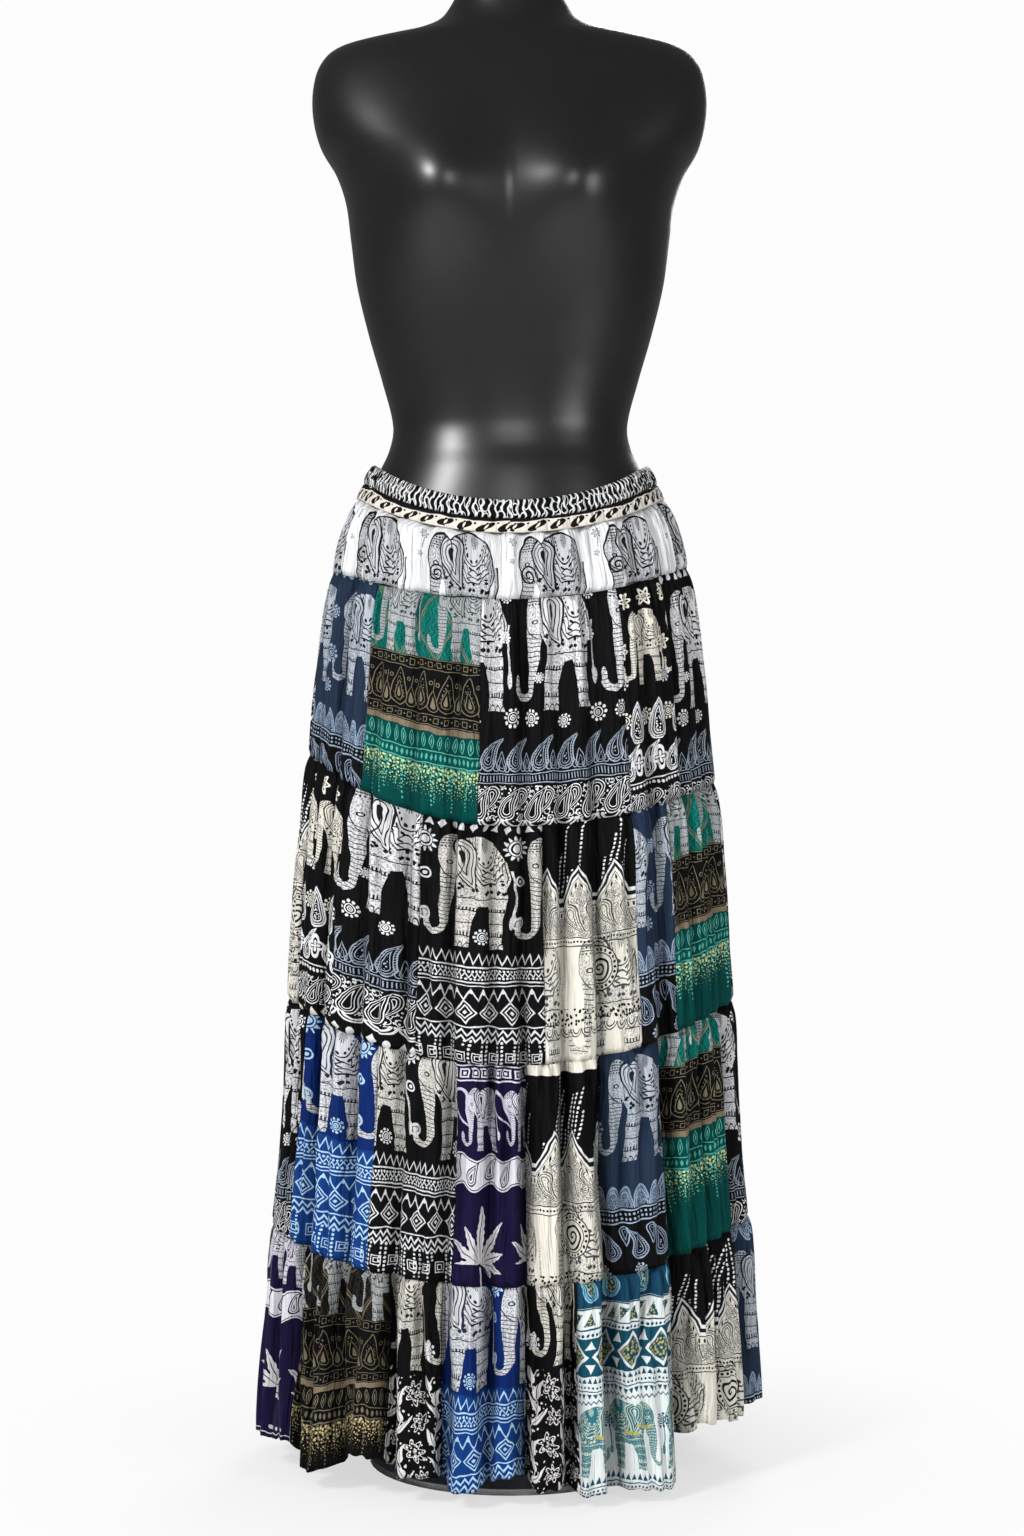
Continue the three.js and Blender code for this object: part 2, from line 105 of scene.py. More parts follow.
creases = {  # angle, how far below the seam it starts, length, depth, width, lean in degrees
    "yoke": [
        (-52, 0, 60, 1.6, 4, 2), (-31, 0, 66, 1.8, 4, -1), (-12, 0, 48, 1.4, 4, 1), (8, 0, 64, 1.9, 4, -1),
        (27, 0, 52, 1.5, 4, 2), (49, 0, 62, 1.7, 4, -2)],
    "tier1": [
        (-63, 10, 120, 2.2, 5, 3), (-49, 0, 90, 2.6, 5, -2), (-35, 30, 150, 2.4, 5, 2),
        (-21, 0, 110, 2.8, 5, -3), (-10, 60, 130, 2.6, 5, 2), (2, 0, 140, 2.4, 5, 3),
        (12, 20, 100, 2.2, 5, -2), (25, 0, 170, 3.0, 5, 2), (36, 50, 110, 2.4, 5, -3),
        (51, 0, 130, 2.6, 5, 2), (66, 20, 120, 2.2, 5, 2)],
    "tier2": [
        (-66, 0, 150, 2.8, 5, 2), (-52, 20, 160, 3.2, 5, -3), (-37, 0, 120, 2.8, 5, 2),
        (-24, 40, 170, 3.4, 6, 3), (-10, 0, 110, 2.6, 5, -2), (1, 70, 150, 3.0, 5, 2),
        (10, 0, 180, 3.4, 5, -2), (21, 10, 130, 3.2, 5, 2), (31, 0, 200, 3.6, 6, 2),
        (40, 30, 140, 3.0, 5, -3), (53, 0, 170, 3.2, 5, 2), (69, 10, 150, 2.8, 5, -2)],
    "tier3": [
        (-68, 0, 170, 3.2, 5, 2), (-55, 10, 180, 4.0, 6, -2), (-44, 0, 150, 4.2, 6, 2),
        (-32.5, 0, 200, 4.6, 6, 2), (-22.5, 30, 160, 3.6, 5, -2), (-13.5, 0, 190, 4.4, 6, 2),
        (-3, 20, 120, 3.2, 5, 3), (5, 0, 200, 4.8, 6, -1), (12.5, 10, 150, 3.6, 5, 2),
        (20.5, 0, 200, 5.0, 6, 2), (28.5, 40, 140, 3.4, 5, -2), (42, 0, 190, 4.6, 6, 2),
        (54, 20, 160, 3.8, 5, -2), (71, 0, 180, 3.6, 5, 2)],
    "tier4": [
        (-70, 0, 200, 4.0, 6, 2), (-60, 0, 180, 4.4, 6, -2), (-52, 20, 190, 4.0, 5, 2),
        (-44, 0, 170, 4.6, 6, 2), (-36.5, 30, 180, 4.2, 5, -2), (-29.5, 0, 200, 5.0, 6, 1),
        (-21, 0, 160, 4.2, 5, 2), (-12.5, 40, 180, 4.0, 5, -2), (-5, 0, 150, 3.8, 5, 2),
        (1, 60, 160, 4.4, 5, 2), (7, 0, 200, 5.0, 6, -1), (14, 20, 170, 4.2, 5, 2),
        (22.5, 0, 200, 5.0, 6, 1), (32, 0, 120, 3.6, 5, -3), (39, 50, 150, 4.0, 5, 2),
        (46, 0, 190, 4.6, 6, 2), (62, 10, 170, 4.2, 5, -2), (74, 0, 180, 4.2, 6, 2)],
}
# Each row of patches: where it starts, then print, the angle where the patch ends, how much shorter it is
# cut, and how far its print is moved across and down
patchwork = {
    "yoke": (-90, [("white", 90, 0, 22, 0), ("white", 270, 0, 60, 0)]),
    "tier1": (-82, [
        ("slate", -45, 0, 38, 15), ("green", -8.4, 0, 0, 0), ("night", 34, 0, 0, 14),
        ("ivory", 55.4, 0, 0, 0),
        ("night", 92, 0, 47, -12), ("royal", 128, 0, 0, 0), ("gold", 164, 0, 20, 0), ("slate", 200, 0, 0, 0),
        ("zigzag", 236, 0, 30, 0), ("vine", 278, 0, 0, 0)]),
    "tier2": (-101, [
        ("cream", -73.4, 0, 40, 0), ("ivory", -50.6, 0, 30, 0), ("night", -23.5, 0, 46, 15),
        ("zigzag", 8.5, 0, -8, 5), ("cream", 34, 0, -53, 12), ("slate", 47.4, 0, 60, 15),
        ("green", 80, 0, 30, 6),
        ("night", 112, 0, 15, 0), ("leaf", 141, 0, 0, 0), ("vine", 170, 0, 0, 0), ("royal", 200, 0, 25, 0),
        ("gold", 229, 0, 0, 0), ("slate", 259, 0, 10, 0)]),
    "tier3": (-92, [
        ("night", -63.8, 0, 25, 0), ("royal", -34.2, 0, -11, 21), ("zigzag", -13.1, 0, 45, 28),
        ("leaf", 3.9, 0, 0, 0), ("cream", 23, 0, 55, -10), ("slate", 42, 0, 0, 20), ("green", 72, 0, 10, 30),
        ("night", 100, 0, 0, 0), ("gold", 128, 0, 0, 0), ("cream", 156, 0, 30, 0), ("royal", 184, 0, 0, 0),
        ("vine", 212, 0, 40, 0), ("teal", 240, 0, 0, 0), ("zigzag", 268, 0, 10, 0)]),
    "tier4": (-88, [
        ("leaf", -60.6, 0, 30, 35), ("gold", -29.5, 0, 10, 12), ("vine", -15.7, 0, 0, 20),
        ("royal", 3.5, 0, 18, 28), ("vine", 15.2, 0, 70, 30), ("teal", 42.3, 0, 0, 16),
        ("cream", 71.4, 34, 25, 8), ("slate", 96, 30, 0, 0), ("night", 121, 16, 10, 0),
        ("green", 146, 0, 0, 0), ("leaf", 171, 0, 0, 0), ("zigzag", 196, 0, 20, 0), ("royal", 221, 0, 0, 0),
        ("cream", 246, 0, 10, 0), ("gold", 272, 0, 30, 0)]),
}
drawnWide = {  # where a print is wider than on the other patches
    "tier2_03_night": 1.5, "tier2_04_zigzag": 1.22, "tier3_02_royal": 1.25, "tier3_06_slate": 1.1,
    "tier4_04_royal": 1.15,
}


def alongTable(table, z):
    heights = np.array(sorted(table), float)
    values = np.array([table[h] for h in heights.astype(int)], float)
    before, after = np.r_[0, np.arange(len(heights) - 1)], np.r_[np.arange(1, len(heights)), len(heights) - 1]
    slopes = (values[after] - values[before]) / (heights[after] - heights[before])[:, None]
    i = np.clip(np.searchsorted(heights, z, side="right") - 1, 0, len(heights) - 2)
    step = (heights[i + 1] - heights[i])[..., None]
    t = np.clip((z - heights[i])[..., None] / step, 0, 1)
    return (values[i] * (2 * t**3 - 3 * t**2 + 1) + slopes[i] * step * (t**3 - 2 * t**2 + t)
            + values[i + 1] * (3 * t**2 - 2 * t**3) + slopes[i + 1] * step * (t**3 - t**2))


def foldAt(angle):
    valleys = folds[:, 0]
    turned = np.mod(np.degrees(angle) - valleys[0], 360) + valleys[0]
    i = np.clip(np.searchsorted(valleys, turned + 1e-9, side="right") - 1, 0, len(folds) - 1)
    after = (i + 1) % len(folds)
    width = np.mod(folds[after, 0] - folds[i, 0], 360)
    across = np.clip((turned - folds[i, 0]) / width, 0, 1)
    eased = across**2 * (3 - 2 * across)
    beside = np.where(across < 0.5, i - 1, after)
    edge = np.clip(np.minimum(across, 1 - across) / 0.25, 0, 1)
    own = 0.5 + 0.5 * edge**2 * (3 - 2 * edge)
    return {
        "across": across, "back": folds[i, 2], "width": np.radians(width),
        "depth": folds[i, 1] * (1 - eased) + folds[after, 1] * eased,
        "hem": folds[beside, 3] * (1 - own) + folds[i, 3] * own,
    }


def levelAt(name, angle):
    if name == "hem":
        return foldAt(angle)["hem"]
    front, left, right, back = levels[name]
    along = np.where(np.cos(angle) > 0, front, back)
    side = np.where(np.sin(angle) > 0, right, left)
    return along * np.cos(angle) ** 2 + side * np.sin(angle) ** 2


def gatherAt(tier, across):
    return (0.5 + 0.5 * np.cos(2 * np.pi * tiers[tier][2] * across)) * tiers[tier][3]


def clothSink(tier, angle, z, below, above):
    fold = foldAt(angle)
    down = np.clip((shape["foldStart"] - z) / shape["foldStart"], 0, 1)
    grown = shape["foldAtStart"] + (1 - shape["foldAtStart"]) * down ** shape["foldPower"]
    sink = np.cos(np.pi * fold["across"]) ** 4 * fold["depth"] * grown
    sink += np.sin(np.pi * fold["across"]) ** 2 * fold["back"] * grown
    sink += gatherAt(tier, fold["across"]) * np.exp(-((below / tiers[tier][4]) ** 2))
    sink += shape["seamSink"] * np.exp(-((below / shape["seamSinkReach"]) ** 2))
    sink -= shape["puffReach"] * np.exp(-(((below - shape["puffAt"]) / shape["puffLength"]) ** 2))
    names = list(tiers)
    order = names.index(tier)
    if order + 1 < len(names):  # the cloth rounds in to the seam with the tier below
        tuck = shape["seamSink"] + gatherAt(names[order + 1], fold["across"])
        sink += shape["tuck"] * tuck * np.exp(-((above / shape["tuckReach"]) ** 2))
    held = np.clip(below / shape["heldWithin"], 0, 1)
    if order + 1 < len(names):
        held = held * np.clip(above / shape["heldWithin"], 0, 1)
    wide = alongTable(profile, z)[..., 0]  # so that a width in mm can be turned into an angle
    valley = np.minimum(fold["across"], 1 - fold["across"]) * fold["width"] * wide
    sink += held * shape["pleat"] * grown * np.exp(-((valley / shape["pleatWidth"]) ** 2))
    for k, (waves, depth, fade, sway) in enumerate(fineFolds):
        phase = 1.7 * k + 2.3 * order + sway * np.sin(z / 61 + 2 * angle + k)
        swell = 0.55 + 0.45 * np.cos((4 + k) * angle + 1.3 * k + z / 90)
        swell = swell * (shape["fineGrowth"][0] + shape["fineGrowth"][1] * down)
        groove = (0.5 + 0.5 * np.cos(waves * angle + phase)) ** 2
        sink += held * depth * swell * (groove - 0.37) * 1.4 * np.exp(-((below / fade) ** 2))
    grow = shape["creaseGrowth"][0] + shape["creaseGrowth"][1] * down
    for turn, lower, share in ((0, 0, 1), (180, 12, 0.9)):  # the back has like creases
        for at, start, length, depth, width, lean in creases[tier]:
            along = (below - start - lower) / length
            aside = np.mod(np.degrees(angle) - turn - at - lean * along + 180, 360) - 180
            ends = np.clip(along * 4, 0, 1) * np.clip((1 - along) * 2.2, 0, 1)
            ends = held * share * depth * grow * ends**2 * (3 - 2 * ends)
            across = np.radians(aside) * wide / (width * (1 + shape["creaseSpread"] * down))
            sink += ends * (np.exp(-(across**2)) - 0.3 * np.exp(-((across - 2) ** 2)))
    return sink


def skirtPoint(angle, z, sink):
    reach = alongTable(profile, z)
    s, c = np.sin(angle), np.cos(angle)
    side, ahead = reach[..., 0], np.where(c > 0, reach[..., 1], reach[..., 2])
    normal = np.stack([s / side, -c / ahead], -1)
    normal /= np.linalg.norm(normal, axis=-1)[..., None]
    x = side * s - normal[..., 0] * sink + middle[0]
    y = -ahead * c - normal[..., 1] * sink + middle[1]
    return np.stack([x, y, z], -1) / 1000


# ---- meshes
def alongRows(points, across, up):
    # how far along its own row of the grid each point is, from 0 to 1
    columns, rows = (len(np.unique(np.round(share, 6))) - 1 for share in (across, up))
    i, j = np.rint(across * columns).astype(int), np.rint(up * rows).astype(int)
    table = np.empty((rows + 1, columns + 1, 3))
    table[j, i] = points
    reach = np.linalg.norm(np.diff(table, axis=1), axis=2).cumsum(1)
    reach = np.c_[np.zeros(rows + 1), reach]
    return (reach / reach[:, -1:])[j, i]


def gridMesh(name, columns, rows, place, closed=False):
    # place takes the shares across and up of each point, and gives its place and its place in the cut
    grid = bmesh.new()
    bmesh.ops.create_grid(grid, x_segments=columns, y_segments=rows, size=1)
    mesh = bpy.data.meshes.new(name)
    grid.to_mesh(mesh)
    grid.free()
    flat = np.empty(len(mesh.vertices) * 3)
    mesh.vertices.foreach_get("co", flat)
    flat = flat.reshape(-1, 3)[:, :2]
    shares = (flat - flat.min(0)) / (flat.max(0) - flat.min(0))
    points, cut = place(shares[:, 0], shares[:, 1])
    mesh.vertices.foreach_set("co", points.ravel())
    corners = np.empty(len(mesh.loops), int)
    mesh.loops.foreach_get("vertex_index", corners)
    mesh.uv_layers.new(name="cut").data.foreach_set("uv", cut[corners].ravel())
    if closed:
        ring = bmesh.new()
        ring.from_mesh(mesh)
        bmesh.ops.remove_doubles(ring, verts=ring.verts, dist=1e-6)
        ring.to_mesh(mesh)
        ring.free()
    mesh.polygons.foreach_set("use_smooth", np.ones(len(mesh.polygons), bool))
    mesh.update()
    piece = bpy.data.objects.new(name, mesh)
    bpy.context.scene.collection.objects.link(piece)
    return piece


def giveWall(piece, thickness):
    wall = piece.modifiers.new("wall", "SOLIDIFY")
    wall.thickness = thickness / 1000
    wall.offset = -1


def finishPiece(piece, node, material):
    piece.data.materials.append(material)
    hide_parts(node)
    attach(piece, "root")


def patchPiece(tier, node, start, end, lift, moved):
    # a patch of a tier between two angles, with the cut's metres as its UV
    topName, bottomName = tiers[tier][:2]
    edges = np.radians([start, end])
    gap = shape["sideGap"] / shape["gapReach"]
    first, last = edges[0] + gap / 2, edges[1] - gap / 2

    def rowLength(share):
        turn = np.linspace(first, last, 400)
        top, bottom = levelAt(topName, turn), levelAt(bottomName, turn) + (lift if bottomName == "hem" else 0)
        z = top + (bottom - top) * share
        return np.linalg.norm(np.diff(skirtPoint(turn, z, clothSink(tier, turn, z, top - z, z - bottom)),
                                      axis=0), axis=1).sum()

    width = sum(rowLength(share) for share in shape["measuredAt"]) / len(shape["measuredAt"])
    turn = np.linspace(first, last, 50)
    length = float(np.mean(levelAt(topName, turn) - levelAt(bottomName, turn))) - lift
    columns = max(12, round(width * 1000 / shape["stepAcross"]))
    rows = max(8, round(length / shape["stepDown"]))
    sunk = []  # how deep each point lies against the patch's middle depth, for the painted shade in its folds and the painted light on its crests

    def place(across, up):
        angle = first + (last - first) * across
        top = levelAt(topName, angle)
        bottom = levelAt(bottomName, angle) + shape["endGap"]
        if bottomName == "hem":
            wave = np.sin(31 * angle + 2 * np.sin(7 * angle))
            wave += 0.6 * np.sin(83 * angle + 3 * np.sin(11 * angle))
            bottom = bottom + lift + shape["hemWave"] * wave
        z = bottom + (top - bottom) * up
        sink = clothSink(tier, angle, z, top - z, z - bottom)
        edge = np.minimum(across, 1 - across) * width * 1000
        sink += shape["pucker"] * np.exp(-((edge / shape["puckerReach"]) ** 2))
        points = skirtPoint(angle, z, sink)
        # painted shade and light: a point's depth in its fold, which darkens the print in hollows and
        # lightens it on crests
        sunk.append(np.clip((sink - np.median(sink)) / fabric["deep"], fabric["proud"], 1))
        share = alongRows(points, across, up)
        aside = share * width / drawnWide.get(node, 1) + moved[0] / 1000
        cut = np.stack([aside, (up - 1) * length / 1000 - moved[1] / 1000], -1)
        return points, cut

    piece = gridMesh(f"cloth_{node}", columns, rows, place)
    piece.data.attributes.new("sunk", "FLOAT", "POINT").data.foreach_set("value", sunk[0])
    giveWall(piece, shape["wall"])
    return piece, (width, length / 1000)


def skirtPieces(materials):
    for tier, (start, row) in patchwork.items():
        for i, (printName, end, lift, across, down) in enumerate(row):
            node = f"{tier}_{i + 1:02d}_{printName}"
            piece, flat = patchPiece(tier, node, start, end, lift, (across, down))
            finishPiece(piece, node, materials[printName])
            start = end
        print(f"{tier}: {len(row)} patches")


# ---- the waist
casing = {
    "ruches": 131, "ruche": 0.75, "bulge": 1.3, "edge": 1.6, "inner": 4.6, "fold": 1.9, "wall": 0.7,
    "columns": 1310, "rows": 30, "clear": 0.3,  # clear is the gap below it
    "printRound": 1.14,  # how much of the print goes round, in metres
    "foldFrom": 0.46, "foldTo": 0.54,  # the shares of the strip where the fold over the top begins and ends
}
strip = {
    "columns": 640, "rows": 6, "out": (-0.6, 0.35, -0.5), "ripple": 0.25, "wall": 0.7, "clear": 0.3,
    "printRound": 0.77,
}


def waistCasing(material):
    # one strip of cloth folded over the elastic: up the outside, over the top and down the inside
    def place(around, along):
        angle = around * 2 * np.pi
        top, bottom = levelAt("waist", angle), levelAt("casing", angle) + casing["clear"]
        height = top - bottom - casing["fold"]
        outside, turn = casing["foldFrom"], casing["foldTo"]
        upOut, upIn = np.clip(along / outside, 0, 1), np.clip((1 - along) / (1 - turn), 0, 1)
        over = np.clip((along - outside) / (turn - outside), 0, 1) * np.pi
        wave = np.cos(casing["ruches"] * angle + 1.6 * np.sin(9 * angle) + 1.1 * np.sin(23 * angle))
        lean = np.cos(casing["ruches"] * angle * 2 + 2 * np.sin(11 * angle) + 3 * upOut)
        swell = np.sin(np.pi * upOut) ** 0.6
        ruche = casing["ruche"] * (0.72 * wave + 0.28 * lean)
        out = casing["bulge"] * swell + ruche * (0.4 + 0.6 * swell)
        out -= casing["edge"] * (1 - swell) * (upOut < 0.5)
        half = casing["inner"] / 2
        z = np.where(along < outside, bottom + height * upOut, np.where(
            along > turn, bottom + height * upIn, bottom + height + casing["fold"] * np.sin(over)))
        sink = np.where(along < outside, -out, np.where(
            along > turn, casing["inner"] + 0.3 * ruche,
            half - np.cos(over) * half - ruche * 0.6 * (1 + np.cos(over)) / 2))
        length = 2 * (height + casing["fold"])
        cut = np.stack([around * casing["printRound"], along * length.mean() / 1000], -1)
        return skirtPoint(angle, z, sink), cut

    piece = gridMesh("cloth_waist_casing", casing["columns"], casing["rows"], place, closed=True)
    giveWall(piece, casing["wall"])
    finishPiece(piece, "waist_casing", material)


def waistStrip(material):
    def place(around, up):
        angle = around * 2 * np.pi
        top, bottom = levelAt("casing", angle), levelAt("strip", angle) + strip["clear"]
        out = np.interp(up, [0, 0.5, 1], strip["out"])
        out = out + strip["ripple"] * np.cos(61 * angle + 2 * np.sin(5 * angle))
        cut = np.stack([around * strip["printRound"], (up - 1) * (top - bottom).mean() / 1000], -1)
        return skirtPoint(angle, bottom + (top - bottom) * up, -out), cut

    piece = gridMesh("cloth_waist_strip", strip["columns"], strip["rows"], place, closed=True)
    giveWall(piece, strip["wall"])
    finishPiece(piece, "waist_strip", material)


# ---- the display form
form = {"around": 256, "rows": 300, "capRows": 8, "rim": 3, "rimSteps": 3, "sharpFrom": 40}
torso = {  # height: reach to the side, the front and the back, and how square the section is
    1502: (47, 43, 47, 2), 1498: (50, 46, 50, 2), 1468: (52, 47, 54, 2), 1446: (62, 50, 60, 2),
    1432: (76, 53, 66, 2), 1422: (104, 56, 71, 2), 1415: (140, 59, 75, 2.1), 1406: (172, 63, 80, 2.3),
    1392: (188, 70, 87, 2.5), 1370: (196, 80, 95, 2.6), 1340: (197, 92, 102, 2.6),
    1310: (190, 103, 106, 2.5), 1282: (174, 111, 107, 2.4), 1252: (164, 115, 106, 2.3),
    1215: (159, 113, 103, 2.2), 1170: (153, 105, 99, 2.2), 1120: (141, 95, 92, 2.2),
    1075: (128, 87, 86, 2.2), 1030: (117, 83, 83, 2.2), 1005: (121, 85, 85, 2.2), 980: (133, 91, 93, 2.1),
    950: (147, 96, 103, 2.05), 915: (157, 101, 113, 2), 870: (165, 104, 120, 2), 820: (170, 105, 123, 2),
    770: (167, 103, 119, 2), 725: (160, 97, 109, 2), 700: (146, 84, 94, 2),
}
bust = {"apart": 74, "height": 1250, "wide": 50, "tall": 60, "reach": 20}


def torsoPoint(angle, z):
    reach = alongTable(torso, z)
    square = reach[..., 3]

    def bent(value):
        return np.sign(value) * np.abs(value) ** (2 / square)

    c = np.cos(angle)
    x = reach[..., 0] * bent(np.sin(angle))
    depth = np.where(c > 0, reach[..., 1], reach[..., 2]) * bent(c)
    swell = bust["reach"] * np.exp(-(((z - bust["height"]) / bust["tall"]) ** 2))
    swell = swell * np.exp(-(((np.abs(x) - bust["apart"]) / bust["wide"]) ** 2))
    depth = depth + np.where(c > 0, swell * np.minimum(1, 2 * c), 0)
    return x, -depth


def displayForm(material):
    low, high = min(torso), max(torso)
    cap = form["capRows"] / form["rows"]

    def place(around, up):
        angle = around * 2 * np.pi
        z = low + (high - low) * np.clip((up - cap) / (1 - 2 * cap), 0, 1)
        x, y = torsoPoint(angle, z)
        end = np.minimum(np.minimum(up, 1 - up) / cap, 1)  # the closed ends run in to the axis
        end = np.where(end < 1e-6, 0, end)
        cut = np.stack([around, up], -1)
        return np.stack([x * end + middle[0], y * end + middle[1], z], -1) / 1000, cut

    piece = gridMesh("shell_form_torso", form["around"], form["rows"], place, closed=True)
    rims = piece.modifiers.new("rims", "BEVEL")
    rims.limit_method, rims.angle_limit = "ANGLE", np.radians(form["sharpFrom"])
    rims.width, rims.segments = form["rim"] / 1000, form["rimSteps"]
    finishPiece(piece, "form_torso", material)


# ---- sums and motifs in node trees
def addNode(tree, kind, inlets=(), **settings):  # inlets says what goes into each socket, by name or number
    node = tree.nodes.new(f"ShaderNode{kind}")
    for name, value in settings.items():
        setattr(node, name, value)
    for name, value in dict(inlets).items():
        plug(value, node.inputs[name])
    return node


def plug(value, inlet):
    if isinstance(value, Wire):
        inlet.id_data.links.new(value.socket, inlet)
    elif inlet.type == "RGBA":
        inlet.default_value = (*value, 1)
    else:
        inlet.default_value = value


class Wire:  # a value in a node tree, which sums can be written with
    def __init__(self, socket):
        self.socket, self.tree = socket, socket.id_data

    def sum(self, operation, *others):
        return Wire(addNode(self.tree, "Math", enumerate((self, *others)), operation=operation).outputs[0])

    def __invert__(self):  # where a mask is not
        return (self * -1) + 1

    def abs(self):
        return self.sum("ABSOLUTE")

    def near(self, value, reach):  # 1 within reach of a value
        return self.sum("COMPARE", value, reach)

    def between(self, low, high):
        return self.near((low + high) / 2, (high - low) / 2)

    def tile(self, pitch):  # repeats with its middle at 0
        return self.sum("WRAP", pitch / 2, -pitch / 2)

    def fold(self, pitch):  # runs up and down between 0 and half the pitch
        return self.sum("PINGPONG", pitch / 2)

    def cell(self, pitch):  # the number of the repeat
        return (self / pitch + 0.5).sum("FLOOR")


for sign, operation in (
    ("add", "ADD"), ("sub", "SUBTRACT"), ("mul", "MULTIPLY"), ("truediv", "DIVIDE"), ("pow", "POWER"),
    ("lt", "LESS_THAN"), ("gt", "GREATER_THAN"),
    ("or", "MAXIMUM"), ("and", "MULTIPLY"),  # either mask, and both masks
):
    setattr(Wire, f"__{sign}__", partialmethod(Wire.sum, operation))


def dye(*shade):  # red, green and blue from 0 to 255, turned into what the shaders take
    return tuple(((c / 255 + 0.055) / 1.055) ** 2.4 if c > 10 else c / 255 / 12.92 for c in shade)


def over(colour, mask, ink):
    return Wire(addNode(mask.tree, "Mix", {0: mask, 6: colour, 7: ink}, data_type="RGBA").outputs[2])


def joined(x, y):
    return Wire(addNode(x.tree, "CombineXYZ", {0: x, 1: y}).outputs[0])


def away(x, y):  # distance from 0
    return Wire(addNode(x.tree, "VectorMath", {0: joined(x, y)}, operation="LENGTH").outputs["Value"])


def cells(x, y, size, feature="F1", uneven=1.0):
    inlets = {"Vector": joined(x, y), "Scale": 1 / size, "Randomness": uneven}
    node = addNode(x.tree, "TexVoronoi", inlets, voronoi_dimensions="2D", feature=feature)
    return Wire(node.outputs["Distance"])


def clouds(x, y, size, detail=1.0):
    inlets = {"Vector": joined(x, y), "Scale": 1 / size, "Detail": detail}
    return addNode(x.tree, "TexNoise", inlets, noise_dimensions="2D")


def scattered(cell, seed):  # a number from 0 to 1 for each cell
    node = addNode(cell.tree, "TexWhiteNoise", {"W": cell + seed}, noise_dimensions="1D")
    return Wire(node.outputs["Value"])


socketKinds = {"Cut": "NodeSocketVector", "Colour": "NodeSocketColor"}


def motif(name, inlets, outlets):
    # turns a function of wires into a node group, and its name into a function that places the group
    def made(build):
        tree = bpy.data.node_groups.new(name, "ShaderNodeTree")
        for way, names in (("INPUT", inlets), ("OUTPUT", outlets)):
            for socket in names:
                kind = socketKinds.get(socket, "NodeSocketFloat")
                tree.interface.new_socket(name=socket, in_out=way, socket_type=kind)
        start, end = tree.nodes.new("NodeGroupInput"), tree.nodes.new("NodeGroupOutput")
        results = build(*[Wire(socket) for socket in start.outputs if socket.name in inlets])
        for result, inlet in zip(results if isinstance(results, tuple) else (results,), end.inputs):
            plug(result, inlet)

        def place(*values):
            node = addNode(values[0].tree, "Group", enumerate(values), node_tree=tree)
            found = [Wire(socket) for socket in node.outputs]
            return found[0] if len(found) == 1 else found

        return place
    return made


def oval(x, y, wide, tall):
    return (x / wide) ** 2 + (y / tall) ** 2


@motif("drop", ("X", "Y", "Size", "Bend"), ("Edge",))
def drop(x, y, size, bend):  # a leaf or paisley, its foot round and its tip bent aside; Edge is 0 at its rim
    foot = size * 0.27
    up = y - foot
    share = (up / (size - foot)).sum("MAXIMUM", 0).sum("MINIMUM", 1)
    taper = ((share * -1 + 1) ** 0.85) * (share * 0.35 + 1)
    return away(x - share * share * bend * size, up.sum("MINIMUM", 0)) - foot * taper + (share > 0.99) * 9


@motif("elephant", ("X", "Y", "Size"), ("Shape", "Ink"))
def elephant(x, y, size):  # standing, facing left; X from its middle and Y up from its feet
    x, y = x / size * 100, y / size * 100
    body, head = oval(x - 10, y - 68, 26, 30), oval(x + 17, y - 77, 14, 20)
    flare = (y * -0.3 + 2).sum("MAXIMUM", 0)
    columns = ((x - 10.5).abs() < flare + 21.4) & y.between(0, 60) & (oval(x - 10.5, y, 9.2, 43) > 1)
    trunk = ((x + 24 - y * 0.02).abs() < y * 0.07 + 2) & y.between(19, 72)
    hook = (away(x + 31.5, y - 19).near(8, 2.8) & (y < 19)) | (oval(x + 39.6, y - 23, 2.6, 6) < 1)
    tail = (((x - 38).abs() < 0.9) & y.between(30, 70)) | (oval(x - 38.5, y - 25, 2.2, 7) < 1)
    shape = (body < 1) | (head < 1) | columns | trunk | hook | tail
    ear, rug = drop(x + 5, y * -1 + 95, 44, 0.2), oval(x - 17, y - 92, 18, 38)
    turn = (y - 92).sum("ARCTAN2", x - 17)
    hems = rug + (turn * 9).sum("SINE").abs() * 0.16
    clear = ear > 1
    onRug = (hems < 1.1) & clear
    bare = (hems > 1.1) & clear
    ink = (head.near(0.98, 0.055) & (y > 58)) | ear.near(0.4, 0.9) | ear.near(-2.8, 0.45)
    ink = ink | ear.near(-6.4, 0.5) | (ear < -9.4)
    ink = ink | (onRug & (hems.near(1.06, 0.045) | hems.near(0.82, 0.025) | hems.near(0.58, 0.025)))
    ink = ink | (onRug & (rug.near(0.3, 0.02) | (away((turn * 10).tile(3.4), (rug * 24).tile(5)) < 0.9)))
    spots = (cells(x, y, 5.4) < 0.28) & y.between(45, 61) & bare & (body < 1.2)
    hoops = (y.tile(11).abs() < 0.45) | ((y.near(13, 1.6) | y.near(34, 1.6)) & (x.tile(2.4).abs() < 0.6))
    toes = oval(x.tile(4.6), y, 2.1, 5).near(1, 0.25) & (y < 6)
    rings = (trunk | hook) & (y < 62) & ((y.tile(3.6) + (x + 24) * 0.1).abs() < 0.35)
    eye = oval(x + 22, y - 72, 2.8, 2).near(0.75, 0.4)
    crown = (y.tile(4.6).abs() < 0.4) | (away(x.tile(3), (y - 2.3).tile(4.6)) < 0.8)
    crown = crown & (head < 0.9) & clear & (y > 84)
    ink = ink | (body.near(0.87, 0.03) & bare & (y > 58))
    stipple = (cells(x, y, 1.9) < 0.32) & bare
    return shape, ink | spots | (columns & (y < 45) & (hoops | toes)) | rings | eye | crown | (stipple * 0.5)


